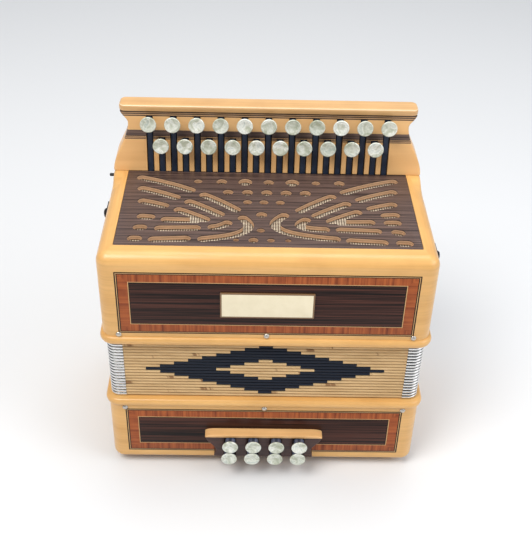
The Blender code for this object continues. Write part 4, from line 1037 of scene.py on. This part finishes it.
# Stepped diamonds by fold and distance from the middle: the black one's half width is its tip plus a step for
# each fold nearer the middle than the eighth, and the light one inside it counts from the third.
def paperMaterial():
    made, tree, surface = shader("foldPaper", Specular_IOR_Level=0.2)
    spot = place(tree, uv=True)
    u, row, _ = node(tree, "SeparateXYZ", {0: spot}).outputs
    distance = math2(tree, "ABSOLUTE", u)
    fromMiddle = math2(tree, "ABSOLUTE", math2(tree, "SUBTRACT", row, bellows["folds"] // 2))
    inside = []
    for reach in (8, 3):
        half = math2(tree, "MULTIPLY", math2(tree, "SUBTRACT", float(reach), fromMiddle), bellows["step"])
        inside.append(math2(tree, "LESS_THAN", distance, math2(tree, "ADD", half, bellows["tip"])))
    black = math2(tree, "MULTIPLY", inside[0], math2(tree, "SUBTRACT", 1.0, inside[1]))
    # Along the fronts u runs and along the ends y does, so their sum runs all round.
    y = node(tree, "SeparateXYZ", {0: place(tree)}).outputs[1]
    around = math2(tree, "ADD", u, y)
    vector = node(tree, "CombineXYZ", {0: around, 1: math2(tree, "MULTIPLY", row, 0.003)}).outputs[0]
    figure = grouped(tree, grain, {"Vector": vector, "Length": 0.04, "Width": 0.0012})
    paper = ramp(tree, figure["Streak"], [(0.3, bellows["paper"][0]), (0.7, bellows["paper"][1])])
    # Scuffs through to the brown card: dashes along a fold, broken up by fine noise.
    broad = node(tree, "CombineXYZ", {0: math2(tree, "MULTIPLY", around, 38.0),
                                      1: math2(tree, "MULTIPLY", row, 1.7)}).outputs[0]
    dash = noise(tree, broad, 1.0, 1.0)
    crumbs = noise(tree, vector, 380.0, 2.0)
    scuff = node(tree, "Mix", {0: 0.25, 2: dash, 3: crumbs}).outputs[0]
    scuff = ramp(tree, scuff, [(0.64, (0, 0, 0)), (0.67, (0.8, 0.8, 0.8))])
    paper = mixed(tree, scuff, paper, bellows["mark"])
    coloured(surface, mixed(tree, black, paper, bellows["black"]))
    roughened(surface, black, 0.65, 0.5)
    bumped(surface, figure["Height"], 0.2, 0.1 * mm)
    return made


# Bright along the middle of each metal edge and darkened towards its sides: painted shade and painted dark
# reflection, standing in for the dark gaps between the edges.
def cornerMaterial():
    made = metalMaterial("cornerMetal", (0.92, 0.91, 0.89), 0.24, 0.03, 0.0)
    tree = made.node_tree
    surface = tree.nodes["Principled BSDF"]
    across = math2(tree, "ABSOLUTE", node(tree, "SeparateXYZ", {0: place(tree, uv=True)}).outputs[0])
    bright = surface.inputs["Base Color"].links[0].from_socket
    # Painted shade and reflection: the metal's own colour multiplied down to near black towards both sides of
    # each edge.
    coloured(surface, shaded(tree, bright, across, [(0.38, (1, 1, 1)), (0.64, (0.03, 0.03, 0.03))]))
    return made


paper = paperMaterial()
card = mottled("foldCard", 0.01, [(0.3, (0.07, 0.045, 0.028)), (0.7, (0.12, 0.08, 0.05))], bump=(0.2, 0.2),
               uv=True, Roughness=0.8)
cornerMetal = cornerMaterial()
path, out = foldPath()
# Along the fronts and backs u is x; round the ends it stays past the pattern.
foldU = np.append(path[:, 0], path[0, 0]) * mm
# The share of the way across a metal edge, from -1 to 1 over its round front.
aroundMetal = np.concatenate([np.linspace(-1, 1, 11), [1, -1, -1]])
for fold in range(bellows["folds"]):
    z = bellows["low"] + (fold + 0.5) * pitch
    profile = roundProfile(z, bellows["edge"], 0, bellows["bandDeep"])
    foldV = np.full(len(profile) + 1, float(fold))
    shapes = [skin(swept(path, out, profile), True, True, u=foldU, v=foldV)]
    profile = roundProfile(z, bellows["metalTall"], bellows["metalOut"], bellows["bandDeep"] - 1)
    for corner, way in cornerPaths():
        points = swept(corner, way, profile).transpose(1, 0, 2)
        shapes.append(skin(points, closeCols=True, caps=True, slot=1, u=aroundMetal, v=np.zeros(len(points))))
    made = piece(f"foldEdge{fold + 1}", shapes, [paper, cornerMetal])
    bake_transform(made)
    if fold == 0:
        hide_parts("bellows")

half = pitch / 2
for i in range(2 * bellows["folds"]):
    z0, z1 = bellows["low"] + i * half, bellows["low"] + (i + 1) * half
    ends = [-bellows["valley"], -bellows["crest"]][::1 if i % 2 == 0 else -1]
    thick = bellows["card"]
    profile = [(ends[0], z0), (ends[1], z1), (ends[1] - thick, z1), (ends[0] - thick, z0)]
    shape = skin(swept(path, out, profile), True, True)
    made = piece(f"foldCard{i + 1}", [shape], [card])
    low, high = unsmooth(i / (2 * bellows["folds"])), unsmooth((i + 1) / (2 * bellows["folds"]))
    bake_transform(made)
print("bellows")


# ---- pins, strap fittings, feet ----

pins = {"x": (-110, 0, 110), "radius": 2.3, "rise": 1.5, "sunk": 0.6, "front": -69, "back": 77}
domeTurn = np.linspace(0, math.pi / 2, 9)
dome = np.stack([pins["radius"] * np.cos(domeTurn), pins["rise"] * np.sin(domeTurn)], -1)
pinProfile = np.concatenate([[(pins["radius"], -pins["sunk"])], dome])
for name, z, body in (("treblePins", 139.2, "treble_end"), ("bassPins", 64.1, "bass_end")):
    shapes = [turned(pinProfile, (x, y, z), (0, way, 0), 24)
              for x in pins["x"] for y, way in ((pins["front"], -1), (pins["back"], 1))]
    piece(name, shapes, [nickel], body)

blackIron = mottled("blackIron", 0.003, [(0.3, (0.012, 0.012, 0.014)), (0.75, (0.035, 0.034, 0.036))],
                    rough=(0.3, 0.55), bump=(0.2, 0.1), Metallic=0.6)

brackets = {"left": (-1, 14), "right": (1, -37)}
bracket = {"x": 123.2, "z": 192, "tall": 14.4, "wide": 14, "thick": 1.4, "out": 3.0, "wire": 1.1,
           "wireX": 123.6, "bail": 8.6}
for name, (side, y) in brackets.items():
    near, far = sorted((side * bracket["x"], side * (bracket["x"] + bracket["thick"])))
    wide, tall = bracket["wide"] / 2, bracket["tall"] / 2
    shapes = [slab((near, y - wide, bracket["z"] - tall), (far, y + wide, bracket["z"] + tall), 0.5, 0.3)]
    # The bail: a wire whose middle follows a flattened half circle out of the plate.
    turn = np.linspace(0, math.pi, 25)
    middle = np.stack([side * (bracket["wireX"] + bracket["out"] * np.sin(turn) ** 0.6), y + 0 * turn,
                       bracket["z"] + bracket["bail"] / 2 * np.cos(turn)], -1)
    way = np.gradient(middle, axis=0)
    way = way / np.linalg.norm(way, axis=1, keepdims=True)
    across = np.cross(way, (0.0, 1.0, 0.0))
    around = np.linspace(0, 2 * math.pi, 14, endpoint=False)
    tube = middle[:, None] + bracket["wire"] * (np.cos(around)[None, :, None] * across[:, None]
                                                + np.sin(around)[None, :, None] * np.array((0, 1, 0)))
    shapes.append(skin(tube, closeCols=True, caps=True))
    piece(f"bracket{name.title()}", shapes, [blackIron], "treble_end", [f"strap_bracket_{name}"])

pegFoot = (-123.2, 56, 202.5)
pegProfile = [(0, -0.2), (1.3, -0.2), (1.3, 3.7), (1.15, 4.1), (0.8, 4.35), (0, 4.4)]
piece("strapPegIron", [turned(pegProfile, pegFoot, (-1, 0, 0), 32)], [blackIron],
      "treble_end", ["strap_peg"])

rubber = mottled("footRubber", 0.002, [(0.3, (0.016,) * 3), (0.7, (0.03,) * 3)], bump=(0.4, 0.2),
                 Roughness=0.8)
footProfile = [(0, 0), (6.0, 0), (6.7, 0.3), (7, 1.0), (7, 5.2), (6.6, 5.7), (0, 5.7)]
feet = {"front_left": (-101, -47), "front_right": (101, -47),
        "back_left": (-101, 55), "back_right": (101, 55)}
for name, (x, y) in feet.items():
    piece("foot" + name.title().replace("_", ""), [turned(footProfile, (x, y, 0), (0, 0, 1), 36)],
          [rubber], "bass_end", ["foot_" + name])

leather, tree, surface = shader("leather", Roughness=0.62)
spot = place(tree)
pebble = node(tree, "TexVoronoi", {"Vector": spot, "Scale": 900.0}).outputs["Distance"]
marks = grouped(tree, handling, {"Vector": spot, "Size": 0.015})["Mask"]
coloured(surface, ramp(tree, marks, [(0.3, (0.045, 0.022, 0.013)), (0.7, (0.09, 0.045, 0.027))]))
bumped(surface, pebble, 0.3, 0.2 * mm)
strap = {"low": (-88, -17, 3.1), "high": (88, 25, 5.7), "corner": 5, "rim": 0.9}
piece("handStrapLeather", [slab(strap["low"], strap["high"], strap["corner"], strap["rim"])], [leather],
      "bass_end", ["hand_strap"])

repaint(mapleBoard, "honey_maple", "bass_end_plate")
repaint(plainWood, "inner_wood", "bass_pallet_board", "bass_reed_block", "bellows_frame_bass",
        "bellows_frame_treble", "treble_pallet_board", "treble_reed_block_1", "treble_reed_block_2")
repaint(metalMaterial("axleSteel", (0.55, 0.55, 0.56), 0.3), "steel", "treble_axle")
print("fittings")


# ---- floor, lights, camera ----

studio = {"floor": (0.74, 0.745, 0.75), "world": (0.86, 0.90, 0.96), "worldStrength": 0.48}
floorMesh = bpy.data.meshes.new("floor")
floorMesh.from_pydata([(-4, -3, 0), (4, -3, 0), (4, 6, 0), (-4, 6, 0)], [], [(0, 1, 2, 3)])
floor = bpy.data.objects.new("floor", floorMesh)
bpy.context.scene.collection.objects.link(floor)
floorMaterial, tree, surface = shader("floor", Roughness=0.75)
surface.inputs["Base Color"].default_value = (*studio["floor"], 1)
floorMesh.materials.append(floorMaterial)

world = bpy.data.worlds.new("studio")
bpy.context.scene.world = world
world.use_nodes = True
sky = world.node_tree.nodes["Background"]
sky.inputs["Color"].default_value = (*studio["world"], 1)
sky.inputs["Strength"].default_value = studio["worldStrength"]


def areaLight(name, place, target, size, power, colour):
    data = bpy.data.lights.new(name, "AREA")
    data.shape, data.size, data.energy, data.color = "DISK", size, power, colour
    made = bpy.data.objects.new(name, data)
    made.location = place
    made.rotation_euler = (Vector(target) - Vector(place)).to_track_quat("-Z", "Y").to_euler()
    bpy.context.scene.collection.objects.link(made)


areaLight("key", (-0.7, -0.7, 1.7), (0, 0, 0.13), 1.0, 24, (1, 0.975, 0.94))
areaLight("fill", (1.2, -0.5, 1.0), (0, 0, 0.13), 1.2, 11, (0.95, 0.97, 1))
areaLight("top", (0.1, 0.3, 1.7), (0, 0, 0.2), 1.0, 10, (1, 1, 1))

view = {"place": (-0.0141, -0.6087, 0.595), "pitch": 36.47, "yaw": 1.32, "roll": -1.64, "lens": 61.84}
lens = bpy.data.cameras.new("camera")
lens.lens, lens.sensor_width, lens.clip_start, lens.clip_end = view["lens"], 36, 0.01, 50
camera = bpy.data.objects.new("camera", lens)
bpy.context.scene.collection.objects.link(camera)
pitchDown, yaw, roll = (math.radians(view[name]) for name in ("pitch", "yaw", "roll"))
level = math.cos(pitchDown)
ahead = Vector((math.sin(yaw) * level, math.cos(yaw) * level, -math.sin(pitchDown)))
right = Vector((math.cos(yaw), -math.sin(yaw), 0))
down = ahead.cross(right)
rolledRight = math.cos(roll) * right + math.sin(roll) * down
rolledDown = math.cos(roll) * down - math.sin(roll) * right
facing = Matrix((rolledRight, -rolledDown, -ahead)).transposed().to_4x4()
camera.matrix_world = Matrix.Translation(view["place"]) @ facing
bpy.context.scene.camera = camera
bpy.context.scene.view_settings.view_transform = "Standard"
bpy.context.scene.view_settings.look = "None"

print("scene ready")
